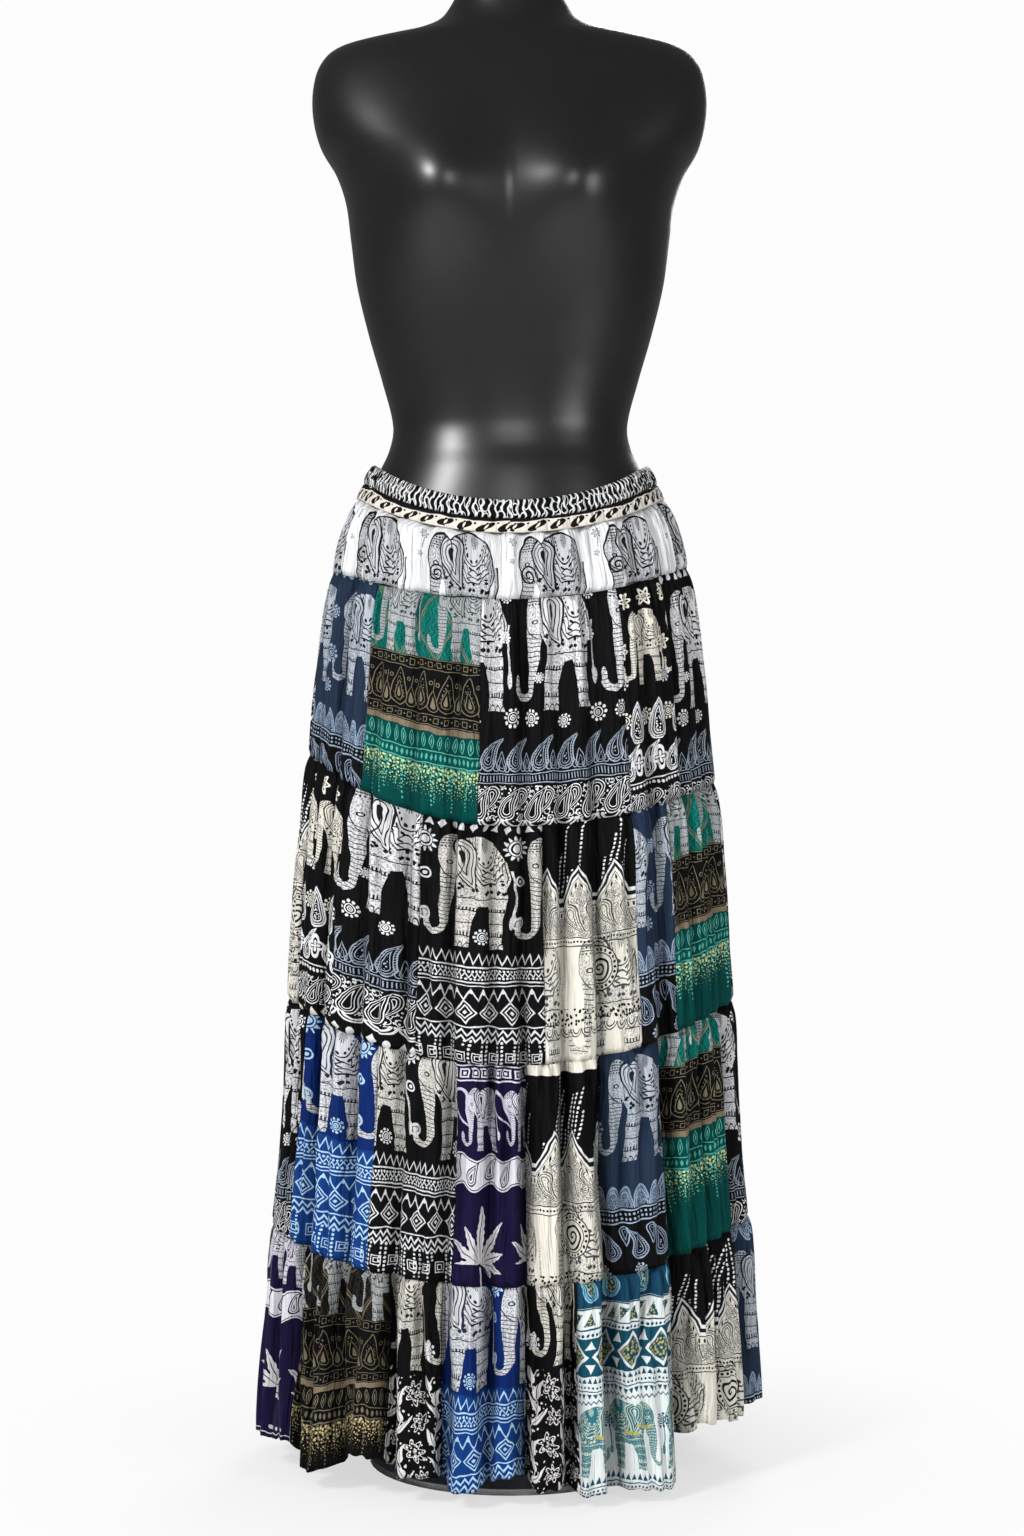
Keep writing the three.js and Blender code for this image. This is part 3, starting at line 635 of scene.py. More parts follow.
@motif("flower", ("X", "Y", "Size", "Petals"), ("Edge",))
def flower(x, y, size, petals):
    swing = (y.sum("ARCTAN2", x) * petals).sum("COSINE")
    return away(x, y) - size * (swing * 0.22 + 0.78)


@motif("curl", ("X", "Y", "Size", "Gap"), ("Ink",))
def curl(x, y, size, gap):  # a spiral line
    reach = away(x, y)
    wound = (reach - y.sum("ARCTAN2", x) / 6.2832 * gap) / gap
    return (wound.tile(1).abs() < 0.2) & (reach < size)


@motif("lace", ("X", "Y", "Size"), ("Ink",))
def lace(x, y, size):  # rings and scrolls that crowd a band
    x, y = x / size, y / size
    twist = cells(x, y, 1) + cells(x, y, 0.45) * 0.2
    edges = cells(x, y, 1, "DISTANCE_TO_EDGE")
    return twist.near(0.34, 0.035) | twist.near(0.55, 0.035) | (twist < 0.15) | edges.near(0.06, 0.02)


wobble = {"size": 30, "reach": 7}  # how far apart and how far off the prints' lines waver
crinkles = {  # how wide, how drawn out down the cloth, and how high
    "long": (5, 0.07, -3.2), "broad": (12, 0.13, 6), "short": (2.6, 0.16, 0.8), "threads": (12.6, 12.6, 0.01),
}


def inMillimetres(cut):  # X runs across the cloth and V down it
    parts = addNode(cut.tree, "SeparateXYZ", {0: cut})
    return Wire(parts.outputs[0]) * 1000, Wire(parts.outputs[1]) * -1000


@motif("hand", ("Cut",), ("X", "V"))
def handDrawn(cut):  # the cut, a little uneven as a drawn print is
    x, v = inMillimetres(cut)
    noise = Wire(clouds(x, v, wobble["size"], 2.0).outputs["Color"])
    aside, down = addNode(cut.tree, "SeparateColor", {0: noise}).outputs[:2]
    return x + (Wire(aside) - 0.5) * wobble["reach"], v + (Wire(down) - 0.5) * wobble["reach"]


@motif("crinkle", ("Cut",), ("Height",))
def crinkle(cut):  # creases that run down the cloth, and its threads, in millimetres
    x, v = inMillimetres(cut)

    def soft(name, moved, detail):
        wide, drawn, high = crinkles[name]
        return Wire(clouds(x + moved, v * drawn, wide, detail).outputs[0]), high

    long, longHigh = soft("long", 0, 2)
    short, shortHigh = soft("short", 50, 1)
    broad, broadHigh = soft("broad", 90, 1)
    across, down, high = crinkles["threads"]
    threads = (x * across).sum("SINE") * high + (v * down).sum("SINE") * high
    return (long - 0.5).abs() * longHigh + broad * broadHigh + short * shortHigh + threads


# ---- rows of a print: X runs across the cloth and V down it, all in millimetres
def line(v, at, half=0.7):
    return v.near(at, half)


def zigzags(x, v, top, bottom, pitch, half=0.9):
    return (v - x.fold(pitch) * (2 * (bottom - top) / pitch)).near(top, half * 1.5)


def diamonds(x, v, middle, tall, pitch, wide=0.46):
    return x.tile(pitch).abs() / (pitch * wide) + (v - middle).abs() / tall


def dots(x, v, middle, pitch, radius):
    return away(x.tile(pitch), v - middle) < radius


def triangles(x, v, top, bottom, pitch, wide=0.42):
    return (x.tile(pitch).abs() < (v - top) * (pitch * wide / (bottom - top))) \
        & v.between(min(top, bottom), max(top, bottom))


def beads(x, v, middle):  # triangles, diamonds and discs by turns
    level = diamonds(x - 12.5, v, middle, 5, 37.5, 0.11)
    disc = oval((x + 12.5).tile(37.5), v - middle, 2.9, 4)
    return triangles(x, v, middle - 4.5, middle + 3.5, 37.5, 0.13) | (level < 1) | (disc < 1)


def drips(x, v, top, low, pitch, seed, radius=1.0, step=4.2):
    length = scattered(x.cell(pitch), seed) * (low - top) + top
    return (away(x.tile(pitch), v.tile(step)) < radius) & (v > top) & (v < length)


def sprinkle(x, v, top, bottom, pitch, seed):  # dots that thin out downwards
    share = (v - top) / (bottom - top)
    return (cells(x + seed, v, pitch, "F1", 0.8) < (share * -0.36 + 0.36)) & (v > top)


def scallops(x, v, top, tall, pitch):
    return oval(x.tile(pitch), v - top, pitch / 2, tall)


def lenses(x, v, middle, tall, pitch, wide):
    return x.tile(pitch).abs() / wide + ((v - middle) / tall) ** 2


def leafLines(edge, half=0.55):
    return edge.near(-half, half) | edge.near(-3, half * 0.6) | edge.near(-5.4, half * 0.7)


black, white, grey = dye(12, 12, 14), dye(230, 231, 233), dye(216, 216, 219)
cream, violet = dye(230, 225, 213), dye(24, 17, 52)


class Cloth:  # a printed cloth being painted, layer over layer
    def __init__(self, cut, ground, repeat):
        self.x, self.v = handDrawn(cut)
        if repeat:
            self.v = self.v.sum("WRAP", repeat, 0)
        self.colour = ground

    def ink(self, mask, colour):
        self.colour = over(self.colour, mask, colour)

    def elephants(self, across, feet, size, pitch, light, dark, facing=1, stretch=1.0):
        x = (self.x - across).tile(pitch) * (facing / stretch)
        shape, lines = elephant(x, self.v * -1 + feet, size)
        self.ink(shape, light)
        self.ink(shape & lines, dark)

    def flowers(self, across, down, size, pitch, petals, colour, heart):
        edge = flower((self.x - across).tile(pitch), self.v - down, size, petals)
        self.ink((edge < 0) & ~edge.near(size * -0.42, size * 0.1), colour)
        self.ink(edge < size * -0.72, heart)

    def rosettes(self, across, down, size, pitch, colour):  # a ring of dots round a flower
        x, y = (self.x - across).tile(pitch), self.v - down
        turn, reach = y.sum("ARCTAN2", x), away(x, y)
        ring = away(turn.tile(0.6283) * size, reach - size) < size * 0.2
        ring = ring | reach.near(size * 0.62, 0.5) | reach.near(size * 0.3, 0.5)
        self.ink(ring | (reach < size * 0.12), colour)

    def paisleys(self, across, down, size, pitch, colour, bend=0.5, half=0.55):
        edge = drop((self.x - across).tile(pitch), self.v * -1 + down, size, bend)
        hatch = edge.between(-3, 0) & ((self.v + self.x * 0.3).tile(2.2).abs() < 0.4)
        self.ink((edge < 2) & leafLines(edge, half) | (hatch * 0.6), colour)
        self.ink((edge < -7) & (cells(self.x, self.v, 2.4) < 0.3), colour)

    def scrolls(self, top, bottom, pitch, colour):  # paisleys up and down, with rosettes and dots between
        x, v, tall = self.x, self.v, bottom - top
        up = drop(x.tile(pitch), v * -1 + bottom, tall, 0.42)
        down = drop((x - pitch / 2).tile(pitch), v - top, tall * 0.8, -0.42)
        inside = v.between(top, bottom)
        free = (up > 1.4) & (down > 1.4) & inside
        self.ink(inside & (leafLines(up, 0.52) | (leafLines(down, 0.52) & (up > 0.6))), colour)
        self.ink(free & ((cells(x, v, 4) < 0.22) | cells(x, v, 8).near(0.34, 0.045)), colour)


def whitePrint(cut):
    c = Cloth(cut, white, 0)
    fine, dark = dye(120, 122, 128), dye(24, 24, 27)
    c.elephants(26, 122, 122, 101, dark, dark, 1, 0.9)
    c.elephants(26, 120, 118, 101, dye(190, 192, 197), dark, 1, 0.9)
    cheek = (c.x - 3).tile(101)
    c.ink(curl(cheek, c.v - 46, 10, 5) & (cheek.abs() < 14), dark)
    c.flowers(87, 9, 5, 101, 6, fine, white)
    c.ink(line((c.x - 87).tile(101), 0, 0.5) & c.v.between(13, 24), fine)
    c.flowers(85, 30, 3.5, 101, 5, fine, white)
    return c.colour


def slatePrint(cut):
    ground, pale, mid = dye(35, 49, 70), dye(150, 167, 188), dye(46, 64, 88)
    c = Cloth(cut, ground, 240)
    x, v = c.x, c.v
    top = scallops(x, v, -2, 19, 14)
    c.ink(top < 1, mid)
    c.ink(top.near(0.92, 0.09) | top.near(0.5, 0.06) | ((top < 0.9) & lace(x, v, 9)), pale)
    c.elephants(40, 124, 100, 88, dye(174, 182, 192), dye(24, 30, 42))
    c.rosettes(84, 92, 8, 88, pale)
    c.rosettes(80, 124, 6, 88, pale)
    c.rosettes(82, 50, 6, 88, pale)
    hills = scallops(x, v, 167, 22, 15)
    low = v.between(142, 168)
    c.ink(low & (hills < 1), mid)
    c.ink(low & (hills.near(0.94, 0.08) | hills.near(0.55, 0.05) | (lace(x, v, 7) & (hills < 0.9))), pale)
    c.ink(v > 166, black)
    c.ink(line(v, 168) | line(v, 179) | dots(x, v, 171.6, 4, 1.1) | dots(x, v, 175.6, 4, 1.1), pale)
    c.paisleys(12, 182 + 34, 32, 27, dye(150, 166, 190), -0.4)
    c.ink(leafLines(drop((x - 25).tile(27), v - 183, 20, 0), 0.5), dye(150, 166, 190))
    c.rosettes(0, 226, 6, 40, dye(176, 184, 196))
    return c.colour


def spadePrint(cut, ground, deep, lively, pale, fine, bright, legs):
    # two cloths share this print: one green and gold, one gold on black
    c = Cloth(cut, ground, 262)
    x, v = c.x, c.v
    up = v < 62
    net = diamonds(x, v, 30, 36, 42, 0.5)
    c.ink(up & (lace(x, v, 8) | ((x + (v * 0.5).sum("SINE") * 2).tile(5).abs() < 0.7)), lively)
    c.ink(up & (net.near(1, 0.035) | net.near(0.88, 0.02)), fine)
    c.elephants(32, 62, 84, 80, legs, dye(60, 66, 64))
    c.ink(v.between(62, 125), black)
    for row in (67.5, 119):
        box = x.tile(11).abs().sum("MAXIMUM", (v - row).abs())
        c.ink(line(v, row - 4.6, 0.3) | line(v, row + 4.6, 0.3), fine)
        c.ink(box.near(2.2, 0.3) | (away((x - 5.5).tile(11), v - row) < 0.8), fine)
    edge = drop((x - 14).tile(28), v * -1 + 111, 37, 0)
    heart = drop((x - 14).tile(28), v * -1 + 106, 18, 0)
    c.ink(edge.near(-0.4, 0.4) | heart.near(0, 0.4), fine)
    c.ink((heart < -2.6) | ((edge < -3.2) & (heart > 0.8) & (cells(x, v, 2.6) < 0.22)), fine)
    sprig = drop(x.tile(28), v * -1 + 111, 20, 0)
    c.ink(sprig.near(0, 0.35) | (sprig < -2.8) | (line(x.tile(28), 0, 0.35) & v.between(80, 91)), fine)
    c.ink(away(x.tile(28).abs() - 4, v - 84).near(1.6, 0.35), fine)
    c.ink(v.between(125, 130.5), dye(128, 114, 94))
    c.ink((v > 130.5) & (v < 148), deep)
    edge = lenses(x, v, 139.2, 7, 8.5, 2.5)
    c.ink(edge.near(0.92, 0.16) | (edge < 0.3), pale)
    strip = v.between(149, 159.5)
    c.ink(line(v, 148.6, 0.5) | line(v, 160, 0.5) | (strip & (lenses(x, v, 154.3, 3.2, 5, 1.3) < 1)), pale)
    c.ink(v > 160.6, deep)
    c.ink(sprinkle(x, v, 161, 189, 2.7, 0), pale)
    c.ink(sprinkle(x, v, 162, 196, 3.6, 31), bright)
    c.ink(drips(x, v, 160, 205, 9, 3, 0.8, 3.4) | drips(x + 3, v, 166, 216, 18, 5, 1.0, 4.2), pale)
    return c.colour


def greenPrint(cut):
    return spadePrint(cut, dye(2, 76, 72), dye(0, 67, 64), dye(16, 116, 104), dye(88, 172, 156),
                      dye(128, 120, 96), dye(206, 208, 140), dye(172, 177, 180))


def goldPrint(cut):
    return spadePrint(cut, black, dye(14, 13, 13), dye(38, 36, 32), dye(116, 108, 88), dye(114, 105, 84),
                      dye(196, 178, 128), dye(168, 170, 170))


def nightPrint(cut):
    c = Cloth(cut, black, 250)
    x, v = c.x, c.v
    c.elephants(90, 122, 120, 104, grey, dye(24, 24, 27))
    for place in ((30, 12, 6), (28, 52, 5.5), (71, 90, 4.5), (35, 128, 8), (61, 128, 7), (98, 132, 6)):
        c.rosettes(*place, 104, white)
    slate = dye(160, 172, 188)
    c.paisleys(10, 178, 34, 29, slate)
    tree = (x - 24.5).tile(29)
    c.ink(leafLines(drop(tree, v * -1 + 178, 18, 0), 0.4), slate)
    c.ink(leafLines(drop(tree.abs() - 5, v * -1 + 178, 11, 0.4), 0.4), slate)
    c.ink(line(v, 180, 0.5) | line(v, 190, 0.5) | (v.between(182, 188) & (x.tile(3.2).abs() < 0.5)), slate)
    c.scrolls(193, 226, 30, white)
    fringe = scallops(x - 13, v, 224, 9, 27)
    c.ink((v > 224) & (fringe.near(0.92, 0.14) | fringe.near(0.45, 0.12)), white)
    c.ink(beads(x, v, 241), white)
    return c.colour


def ivoryPrint(cut):
    c = Cloth(cut, black, 240)
    x, v = c.x, c.v
    c.flowers(8, 14, 9, 31, 6, cream, black)
    c.elephants(30, 98, 74, 62, cream, dye(40, 38, 34))
    c.flowers(60, 62, 9, 62, 6, cream, black)
    c.rosettes(60, 92, 7, 62, white)
    c.paisleys(14, 152, 40, 31, white, 0, 0.8)
    c.rosettes(30, 128, 7, 31, cream)
    c.flowers(14, 170, 12, 31, 4, white, cream)
    c.paisleys(30, 186, 34, 31, white, 0.5, 0.8)
    c.ink(line(v, 189, 0.6) | dots(x, v, 193, 4.4, 1.5), white)
    c.scrolls(199, 226, 25, white)
    c.ink(beads(x, v, 233), cream)
    return c.colour


def bandPrint(cut, ground, sky, light, beast, dark):
    # two cloths share this print: one black and white, one royal blue
    c = Cloth(cut, sky, 240)
    x, v = c.x, c.v
    c.ink(beads(x, v, 8), light)
    c.elephants(44, 122, 108, 100, beast, dark, 1, 1.12)
    aside = (x - 96).tile(100)
    sun = away(aside, v - 26)
    rays = flower(aside, v - 26, 12, 12)
    c.ink((sun < 3.4) | sun.near(5.8, 0.8) | ((rays < 0) & (sun > 7.6)), light)
    for down, size in ((58, 4.6), (96, 5)):
        ring = away(aside, v - down)
        c.ink((ring < 1.8) | ring.near(size, 0.9), light)
    c.rosettes(57, 111, 6.5, 100, light)
    c.ink(v > 124, ground)
    marks = zigzags(x, v, 127, 136, 8, 0.85) | line(v, 139, 0.75) | line(v, 153, 0.75) | line(v, 156.5, 0.5)
    marks = marks | dots(x, v, 142.5, 3.4, 1.1) | dots(x + 1.7, v, 149.5, 3.4, 1.1)
    marks = marks | zigzags(x, v, 144, 148, 5, 0.6)
    marks = marks | zigzags(x, v, 170, 160, 11, 0.85) | dots(x + 5.5, v, 162.5, 11, 1.5)
    level = diamonds(x, v, 181, 11, 22)
    marks = marks | level.near(0.92, 0.085) | level.near(0.56, 0.075) | (level < 0.2)
    marks = marks | line(v, 194.5, 0.6) | zigzags(x, v, 197, 202, 8, 0.8) | zigzags(x, v, 203, 208, 8, 0.8)
    box = (x - 8).tile(16).abs().sum("MAXIMUM", (v - 223).abs())
    marks = marks | (box.near(4.4, 0.45) & (x.tile(32).abs() < 16)) | box.near(2, 0.4)
    c.ink((v > 124) & marks, light)
    c.ink(drips(x, v, 206, 300, 16, 4, 1.3, 4) | drips(x + 5, v, 206, 280, 16, 9, 1.1, 4), light)
    return c.colour


def zigzagPrint(cut):
    return bandPrint(cut, black, black, dye(214, 215, 217), dye(208, 205, 200), dye(30, 30, 32))


def royalPrint(cut):
    return bandPrint(cut, dye(18, 58, 122), dye(12, 38, 98), dye(172, 204, 230), dye(204, 206, 210),
                     dye(34, 40, 62))


def creamPrint(cut):
    c = Cloth(cut, cream, 250)
    x, v = c.x, c.v
    dark, soft, bare = dye(28, 28, 30), dye(70, 72, 76), dye(216, 212, 201)
    tent = (x.tile(47).abs() * 1.5 + 52).sum("MINIMUM", 82)
    edge = v - tent
    c.ink(edge < 0, black)
    lean = x + v * 0.2
    far = scattered(lean.cell(6), 2) * 70 + (scattered(lean.cell(30), 7) > 0.6) * 60
    c.ink((edge < -3) & (away(lean.tile(6), v.tile(4)) < 1.3) & (v > far), white)
    c.ink(edge.between(0, 2.5) | edge.near(9, 1.5), white)
    c.ink(edge.near(5.5, 2) | edge.near(12, 0.5), dark)
    c.ink(edge.between(14, 18) & (x.fold(5) > 1.5), dark)
    hung = drop((x - 12).tile(24), v - 88, 32, 0.5)
    crowd = (leafLines(hung, 0.7) | ((hung > 1) & lace(x, v, 7))) | ((cells(x, v, 2) < 0.32) * 0.5)
    c.ink((edge > 19) & (v < 120) & crowd, soft)
    c.elephants(30, 240, 122, 104, bare, soft)
    c.ink(line(v, 121, 0.5) | line(v, 129, 0.5) | dots(x, v, 125, 3.4, 1.1), dark)
    ear = (x - 27).tile(104)
    ring, turn = away(ear, v - 153), (v - 153).sum("ARCTAN2", ear)
    c.ink(ring < 21, bare)
    c.ink(curl(ear, v - 153, 13, 5.5) | ring.near(15, 0.5) | ring.near(20.6, 0.6), dark)
    c.ink(away(turn.tile(0.2856) * 17.8, ring - 17.8) < 1.4, dark)
    c.ink(v.between(186, 202) & (cells(x, v, 4.6) < 0.3), dark)
    legs = scallops(x, v, 204, 9, 12)
    c.ink((v > 204) & (v < 214) & (legs.near(0.9, 0.14) | legs.near(0.35, 0.1)), soft)
    return c.colour


def leafPrint(cut):
    c = Cloth(cut, violet, 232)
    x, v = c.x, c.v
    box = x.tile(11).abs().sum("MAXIMUM", (v - 8).abs())
    c.ink(line(v, 1) | line(v, 15) | box.near(3.6, 0.7) | (box < 1.5), dye(214, 211, 222))
    c.elephants(34, 80, 60, 56, dye(214, 211, 222), violet)
    c.ink(drop((x - 6).tile(56), v - 22, 40, 0.4).near(-1.5, 1.5), dye(196, 192, 208))
    wave = v + (x * 0.17).sum("SINE") * 3
    band = wave.between(86, 114)
    c.ink(band, dye(220, 218, 226))
    edge = drop(x.tile(22), wave * -1 + 110, 23, 0.4)
    c.ink(band & (leafLines(edge, 0.7) | line(wave, 88, 0.5) | line(wave, 112, 0.5)), violet)
    side = (x - 36).tile(78)
    up = v * -1 + 184
    turned = side + up * 0.1
    bearing = up.sum("ARCTAN2", turned) - 1.45
    reach = away(turned, up)
    spoke = bearing.tile(0.58)
    long = ((bearing - spoke) * 0.5).sum("COSINE") * (scattered(bearing.cell(0.58), 3) * 16 + 40)
    share = reach / long
    width = (share.sum("MINIMUM", 1) * 3.1).sum("SINE") * (((reach * 0.9).sum("SINE") * 0.12) + 1) * 4.5 + 0.2
    leaflet = (reach * spoke).abs() / width
    c.ink((share < 1) & (leaflet < 1) & (leaflet > 0.12) & (bearing.abs() < 2.4), dye(206, 202, 206))
    c.ink((side.abs() < 0.8) & v.between(188, 212), dye(206, 202, 206))
    c.ink(dots(x + 2, v, 222, 12, 1.8) | line(v, 228, 0.5), dye(206, 202, 206))
    return c.colour


def vinePrint(cut):
    c = Cloth(cut, black, 270)
    x, v = c.x, c.v
    c.elephants(34, 104, 104, 88, dye(214, 210, 200), dye(40, 40, 40))
    c.rosettes(80, 84, 7, 88, white)
    low, bloom = v > 108, dye(222, 218, 216)
    stem = (x + (v * 0.12).sum("SINE") * 5).tile(44)
    marks = stem.abs() < 0.6
    for side, climb in ((1, 4), (-1, 17), (1, 30), (-1, 43)):
        up = (v * -1 + climb).sum("WRAP", 52, 0)
        aside = stem * side - up * 0.55
        leaf = drop(aside, up, 17, 0.2)
        marks = marks | ((leaf < 0) & (aside.abs() > 0.45)) | (away(stem * side - 4, up - 21) < 1.3)
    for across, climb, size in ((22, 20, 12), (22, 46, 9)):
        wide, tall = (stem - across).tile(44), (v * -1 + climb).tile(52)
        edge = flower(wide, tall, size, 7)
        marks = marks | edge.near(-0.7, 0.7) | (edge < size * -0.82)
        marks = marks | ((edge < -2.6) & (edge > size * -0.7) & (cells(x, v, 3) < 0.36))
    c.ink(low & marks, bloom)
    c.ink(low & (cells(x, v, 9) < 0.1), bloom)
    return c.colour


def tealPrint(cut):
    deep, blue, gilt = dye(22, 78, 98), dye(124, 182, 206), dye(184, 172, 96)
    c = Cloth(cut, dye(24, 66, 92), 250)
    x, v = c.x, c.v
    edge = drop((x - 16).tile(46), v * -1 + 36, 40, 0.1)
    c.ink(leafLines(edge, 0.9), blue)
    c.ink((edge < -5.6) & (cells(x, v, 2.6) < 0.34), gilt)
    pale = dye(222, 228, 228)
    c.ink(v.between(40, 68), pale)
    hearts = triangles(x, v, 58, 45, 28, 0.2) | triangles(x + 14, v, 45, 58, 28, 0.2)
    c.ink(hearts, deep)
    c.ink(hearts & (cells(x, v, 2.8) < 0.3), gilt)
    c.ink(line(v, 41) | line(v, 61) | dots(x, v, 65.5, 4.5, 1.4), deep)
    c.ink(v.between(68, 105), deep)
    peaks = triangles(x - 17, v, 70, 79, 34, 0.14) | triangles(x - 17, v, 103, 94, 34, 0.14)
    c.ink(v.between(68, 105) & peaks, pale)
    level = diamonds(x, v, 86.5, 17, 34, 0.46)
    c.ink(level < 1, pale)
    c.ink(level < 0.78, deep)
    c.ink((level < 0.7) & (cells(x, v, 3) < 0.36), gilt)
    c.ink(v > 105, pale)
    c.ink(triangles(x, v, 106, 111, 5.5) | dots(x, v, 115, 4, 1.1) | line(v, 118.5, 0.5)
          | triangles(x, v, 126, 121, 5.5) | zigzags(x, v, 128, 131, 5, 0.5), deep)
    c.elephants(30, 198, 66, 66, dye(44, 116, 130), dye(206, 214, 196), -1, 1.2)
    c.ink((v - x.tile(66) * 0.1).near(161, 1.4) & ((x - 34).tile(66).abs() < 15), gilt)
    c.rosettes(64, 154, 6, 66, deep)
    c.ink(triangles(x, v, 201, 207, 6) | line(v, 210, 0.5) | dots(x, v, 213.5, 4, 1.1)
          | triangles(x, v, 222, 216, 6), deep)
    c.ink((v > 223) & (zigzags(x, v, 225, 236, 16, 0.9) | dots(x + 8, v, 228, 16, 2)), deep)
    return c.colour


def casingPrint(cut):
    c = Cloth(cut, black, 0)
    x, v = c.x, c.v
    wave = x + (v * 0.5).sum("SINE") * 1.4
    c.ink((wave.tile(7.5).abs() < 1.05) | (cells(x, v * 0.6, 8).near(0.4, 0.04)), white)
    return c.colour


def stripPrint(cut):
    c = Cloth(cut, dye(226, 219, 208), 0)
    x, v = c.x, c.v
    up = drop(x.tile(15), v * -1 + 13, 9.5, 0.7)
    down = drop((x - 7.5).tile(15), v - 3.2, 8.5, -0.8)
    marks = (up < 0) | (down < 0) | (away((x - 4.2).tile(7.5), v - 4.6) < 0.9) | (v < 2.6)
    c.ink(marks | (away((x - 2.4).tile(15), v - 11.6) < 1.0), dye(22, 20, 20))
    return c.colour


# ---- materials
fabric = {
    "roughness": 0.6, "specular": 0.06, "sheen": 0.004, "sheenRoughness": 0.4, "crinkle": 1.2,
    "deep": 8, "paintedShade": 0.4,  # painted shade: cloth this many mm down in a fold is painted darker by this share
    "proud": -0.35,  # the least share of that depth, where cloth stands out and is painted lighter
}
prints = {
    "casing": casingPrint, "strip": stripPrint, "white": whitePrint, "slate": slatePrint, "green": greenPrint,
    "night": nightPrint, "ivory": ivoryPrint, "royal": royalPrint, "gold": goldPrint, "zigzag": zigzagPrint,
    "vine": vinePrint, "leaf": leafPrint, "cream": creamPrint, "teal": tealPrint,
}


def newMaterial(name, colour, roughness):
    material = bpy.data.materials.new(name)
    material.use_nodes = True
    shader = material.node_tree.nodes["Principled BSDF"]
    shader.inputs["Base Color"].default_value = (*colour, 1)
    shader.inputs["Roughness"].default_value = roughness
    return material, shader


@motif("painted fold shade", ("Colour", "Sunk"), ("Colour",))
def paintedFoldShade(colour, sunk):  # painted shade where the cloth is sunk in a fold, and painted light where it stands out
    inlets = {0: colour, "Scale": sunk * -fabric["paintedShade"] + 1}
    return Wire(addNode(colour.tree, "VectorMath", inlets, operation="SCALE").outputs[0])


def emboss(shader, height, deep):  # bump, this many millimetres deep
    inlets = {"Strength": 1, "Distance": deep / 1000, "Height": height}
    plug(Wire(addNode(height.tree, "Bump", inlets).outputs[0]), shader.inputs["Normal"])


def printedCloth(name, build):
    material, shader = newMaterial(f"{name} print", (0.5, 0.5, 0.5), fabric["roughness"])
    shader.inputs["Sheen Weight"].default_value = fabric["sheen"]
    shader.inputs["Specular IOR Level"].default_value = fabric["specular"]
    shader.inputs["Sheen Roughness"].default_value = fabric["sheenRoughness"]
    cut = Wire(addNode(material.node_tree, "UVMap", uv_map="cut").outputs[0])
    # the cloth's depth in its folds, for the painted fold shade and crest light laid over the print's colour
    sunk = Wire(addNode(material.node_tree, "Attribute", attribute_name="sunk").outputs["Fac"])
    paint = motif(f"{name} paint", ("Cut",), ("Colour",))(build)
    plug(paintedFoldShade(paint(cut), sunk), shader.inputs["Base Color"])
    emboss(shader, crinkle(cut), fabric["crinkle"])
    return material


materials = {name: printedCloth(name, build) for name, build in prints.items()}
print("prints painted")
uneven = (0.8, 1.2)  # the darkest and lightest share of a coat's colour
coats = {  # colour, roughness, how much it varies, the streaks' size across and along in mm, their height
    "form": ((0.0065, 0.0065, 0.007), 0.32, 0.05, (60, 60), 0.02),
    "steel": ((0.66, 0.67, 0.69), 0.45, 0.14, (0.8, 40), 0.01),
}


@motif("streaks", ("Cut", "Across", "Along"), ("Value",))
def streaks(place, across, along):  # soft noise in the piece's own millimetres, drawn out up and down
    parts = addNode(place.tree, "SeparateXYZ", {0: place}).outputs
    stretched = [Wire(part) * 1000 / size for part, size in zip(parts, (across, across, along))]
    joint = Wire(addNode(place.tree, "CombineXYZ", enumerate(stretched)).outputs[0])
    return Wire(addNode(place.tree, "TexNoise", {"Vector": joint, "Scale": 1, "Detail": 3}).outputs[0])


def coatMaterial(name, metallic):
    colour, roughness, varied, size, height = coats[name]
    material, shader = newMaterial(f"{name} coat", colour, roughness)
    shader.inputs["Metallic"].default_value = metallic
    where = Wire(addNode(material.node_tree, "TexCoord").outputs["Object"])
    value = streaks(where, *size)
    plug(value * varied + (roughness - varied / 2), shader.inputs["Roughness"])
    darker, lighter = (tuple(share * c for c in colour) for share in uneven)
    plug(over(darker, value, lighter), shader.inputs["Base Color"])
    emboss(shader, streaks(where, size[0] / 10, size[1] / 10), height)
    return material


formMaterial, steelMaterial = coatMaterial("form", 0), coatMaterial("steel", 1)

waistStrip(materials["strip"])
waistCasing(materials["casing"])
skirtPieces(materials)
displayForm(formMaterial)
for node in ("form_pole", "form_base"):
    holder = bpy.data.objects[node]
    holder.data.materials.clear()
    holder.data.materials.append(steelMaterial)
print("form built")

# ---- floor and light
studio = {
    "floor": 9, "floorColour": (0.94, 0.94, 0.94), "floorRoughness": 0.9,
    "fadeFrom": 0.1, "fadeTo": 0.6,  # how far out, in metres, the floor begins and ends to turn white
    "fadeLeast": 0.65,  # the share of white that it has inside that
    "light": 0.18, "backdrop": 0.98, "aim": (0, 0, 0.8),
}
floorMesh = bmesh.new()
bmesh.ops.create_circle(floorMesh, cap_ends=True, segments=96, radius=studio["floor"])
floorData = bpy.data.meshes.new("floor")
floorMesh.to_mesh(floorData)
floorMesh.free()
floor = bpy.data.objects.new("floor", floorData)
bpy.context.scene.collection.objects.link(floor)


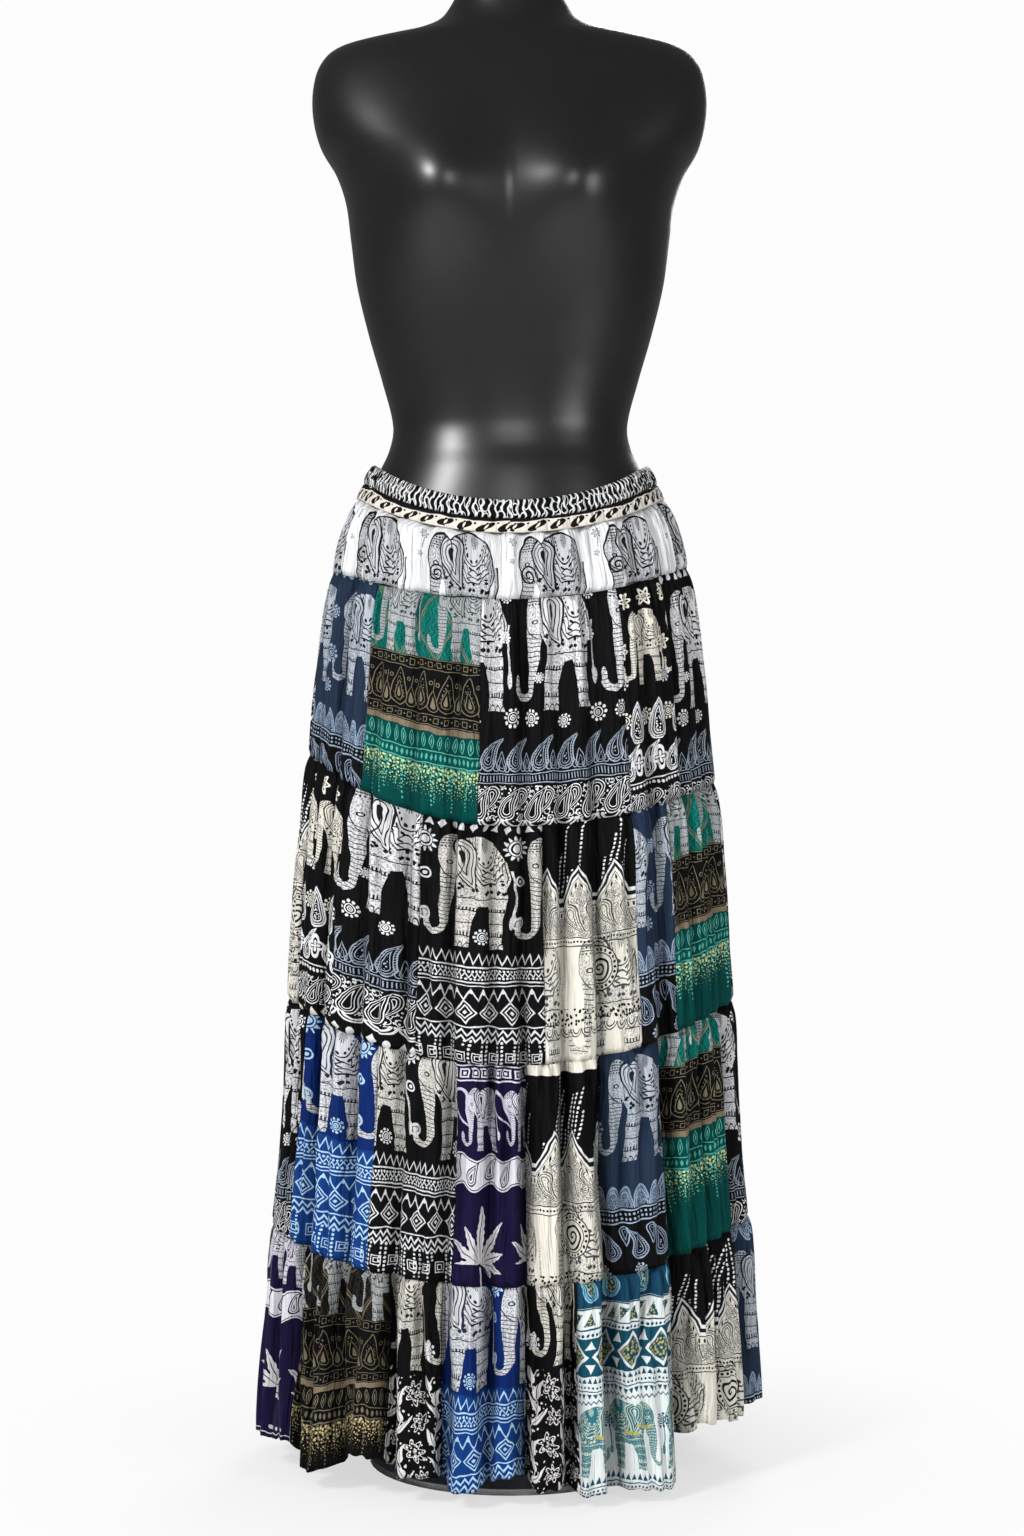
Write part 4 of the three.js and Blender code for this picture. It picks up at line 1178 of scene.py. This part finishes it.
def paleFloor():  # a matt floor that turns into the backdrop's own white away from the skirt
    material, shader = newMaterial("pale floor", studio["floorColour"], studio["floorRoughness"])
    tree = material.node_tree
    place = Wire(addNode(tree, "TexCoord").outputs["Object"])
    reach = Wire(addNode(tree, "VectorMath", {0: place}, operation="LENGTH").outputs["Value"])
    inlets = {"Value": reach, "From Min": studio["fadeFrom"], "From Max": studio["fadeTo"]}
    fade = addNode(tree, "MapRange", inlets, interpolation_type="SMOOTHSTEP")
    fade.inputs["To Min"].default_value = studio["fadeLeast"]
    seen = Wire(addNode(tree, "LightPath").outputs["Is Camera Ray"])
    glow = Wire(addNode(tree, "Emission", {"Strength": studio["backdrop"]}).outputs[0])
    clear = Wire(fade.outputs[0]) * seen
    mixed = addNode(tree, "MixShader", {0: clear, 1: Wire(shader.outputs[0]), 2: glow})
    plug(Wire(mixed.outputs[0]), tree.nodes["Material Output"].inputs["Surface"])
    return material


floorData.materials.append(paleFloor())


def studioWorld():  # soft white light all round, and a brighter white where the camera sees it
    world = bpy.data.worlds.new("studio")
    world.use_nodes = True
    tree = world.node_tree
    background = tree.nodes["Background"].inputs
    background["Color"].default_value = (1, 1, 1, 1)
    seen = Wire(addNode(tree, "LightPath").outputs["Is Camera Ray"])
    plug(seen * (studio["backdrop"] - studio["light"]) + studio["light"], background["Strength"])
    return world


bpy.context.scene.world = studioWorld()
lamps = {  # place, size, power
    "key": ((-1.9, -2.3, 2.5), 0.8, 92), "fill": ((2.4, -2.6, 1.5), 1.4, 33),
    "front": ((0.1, -3.4, 2.0), 0.8, 18), "back": ((0.8, 2.6, 2.4), 1.4, 50),
}
for name, (place, size, power) in lamps.items():
    lamp = bpy.data.lights.new(name, "AREA")
    lamp.shape, lamp.size, lamp.energy = "DISK", size, power
    holder = bpy.data.objects.new(name, lamp)
    holder.location = place
    aim = Vector(studio["aim"]) - Vector(place)
    holder.rotation_euler = aim.to_track_quat("-Z", "Y").to_euler()
    bpy.context.scene.collection.objects.link(holder)
bpy.context.scene.view_settings.view_transform = "Standard"
print("studio lit")
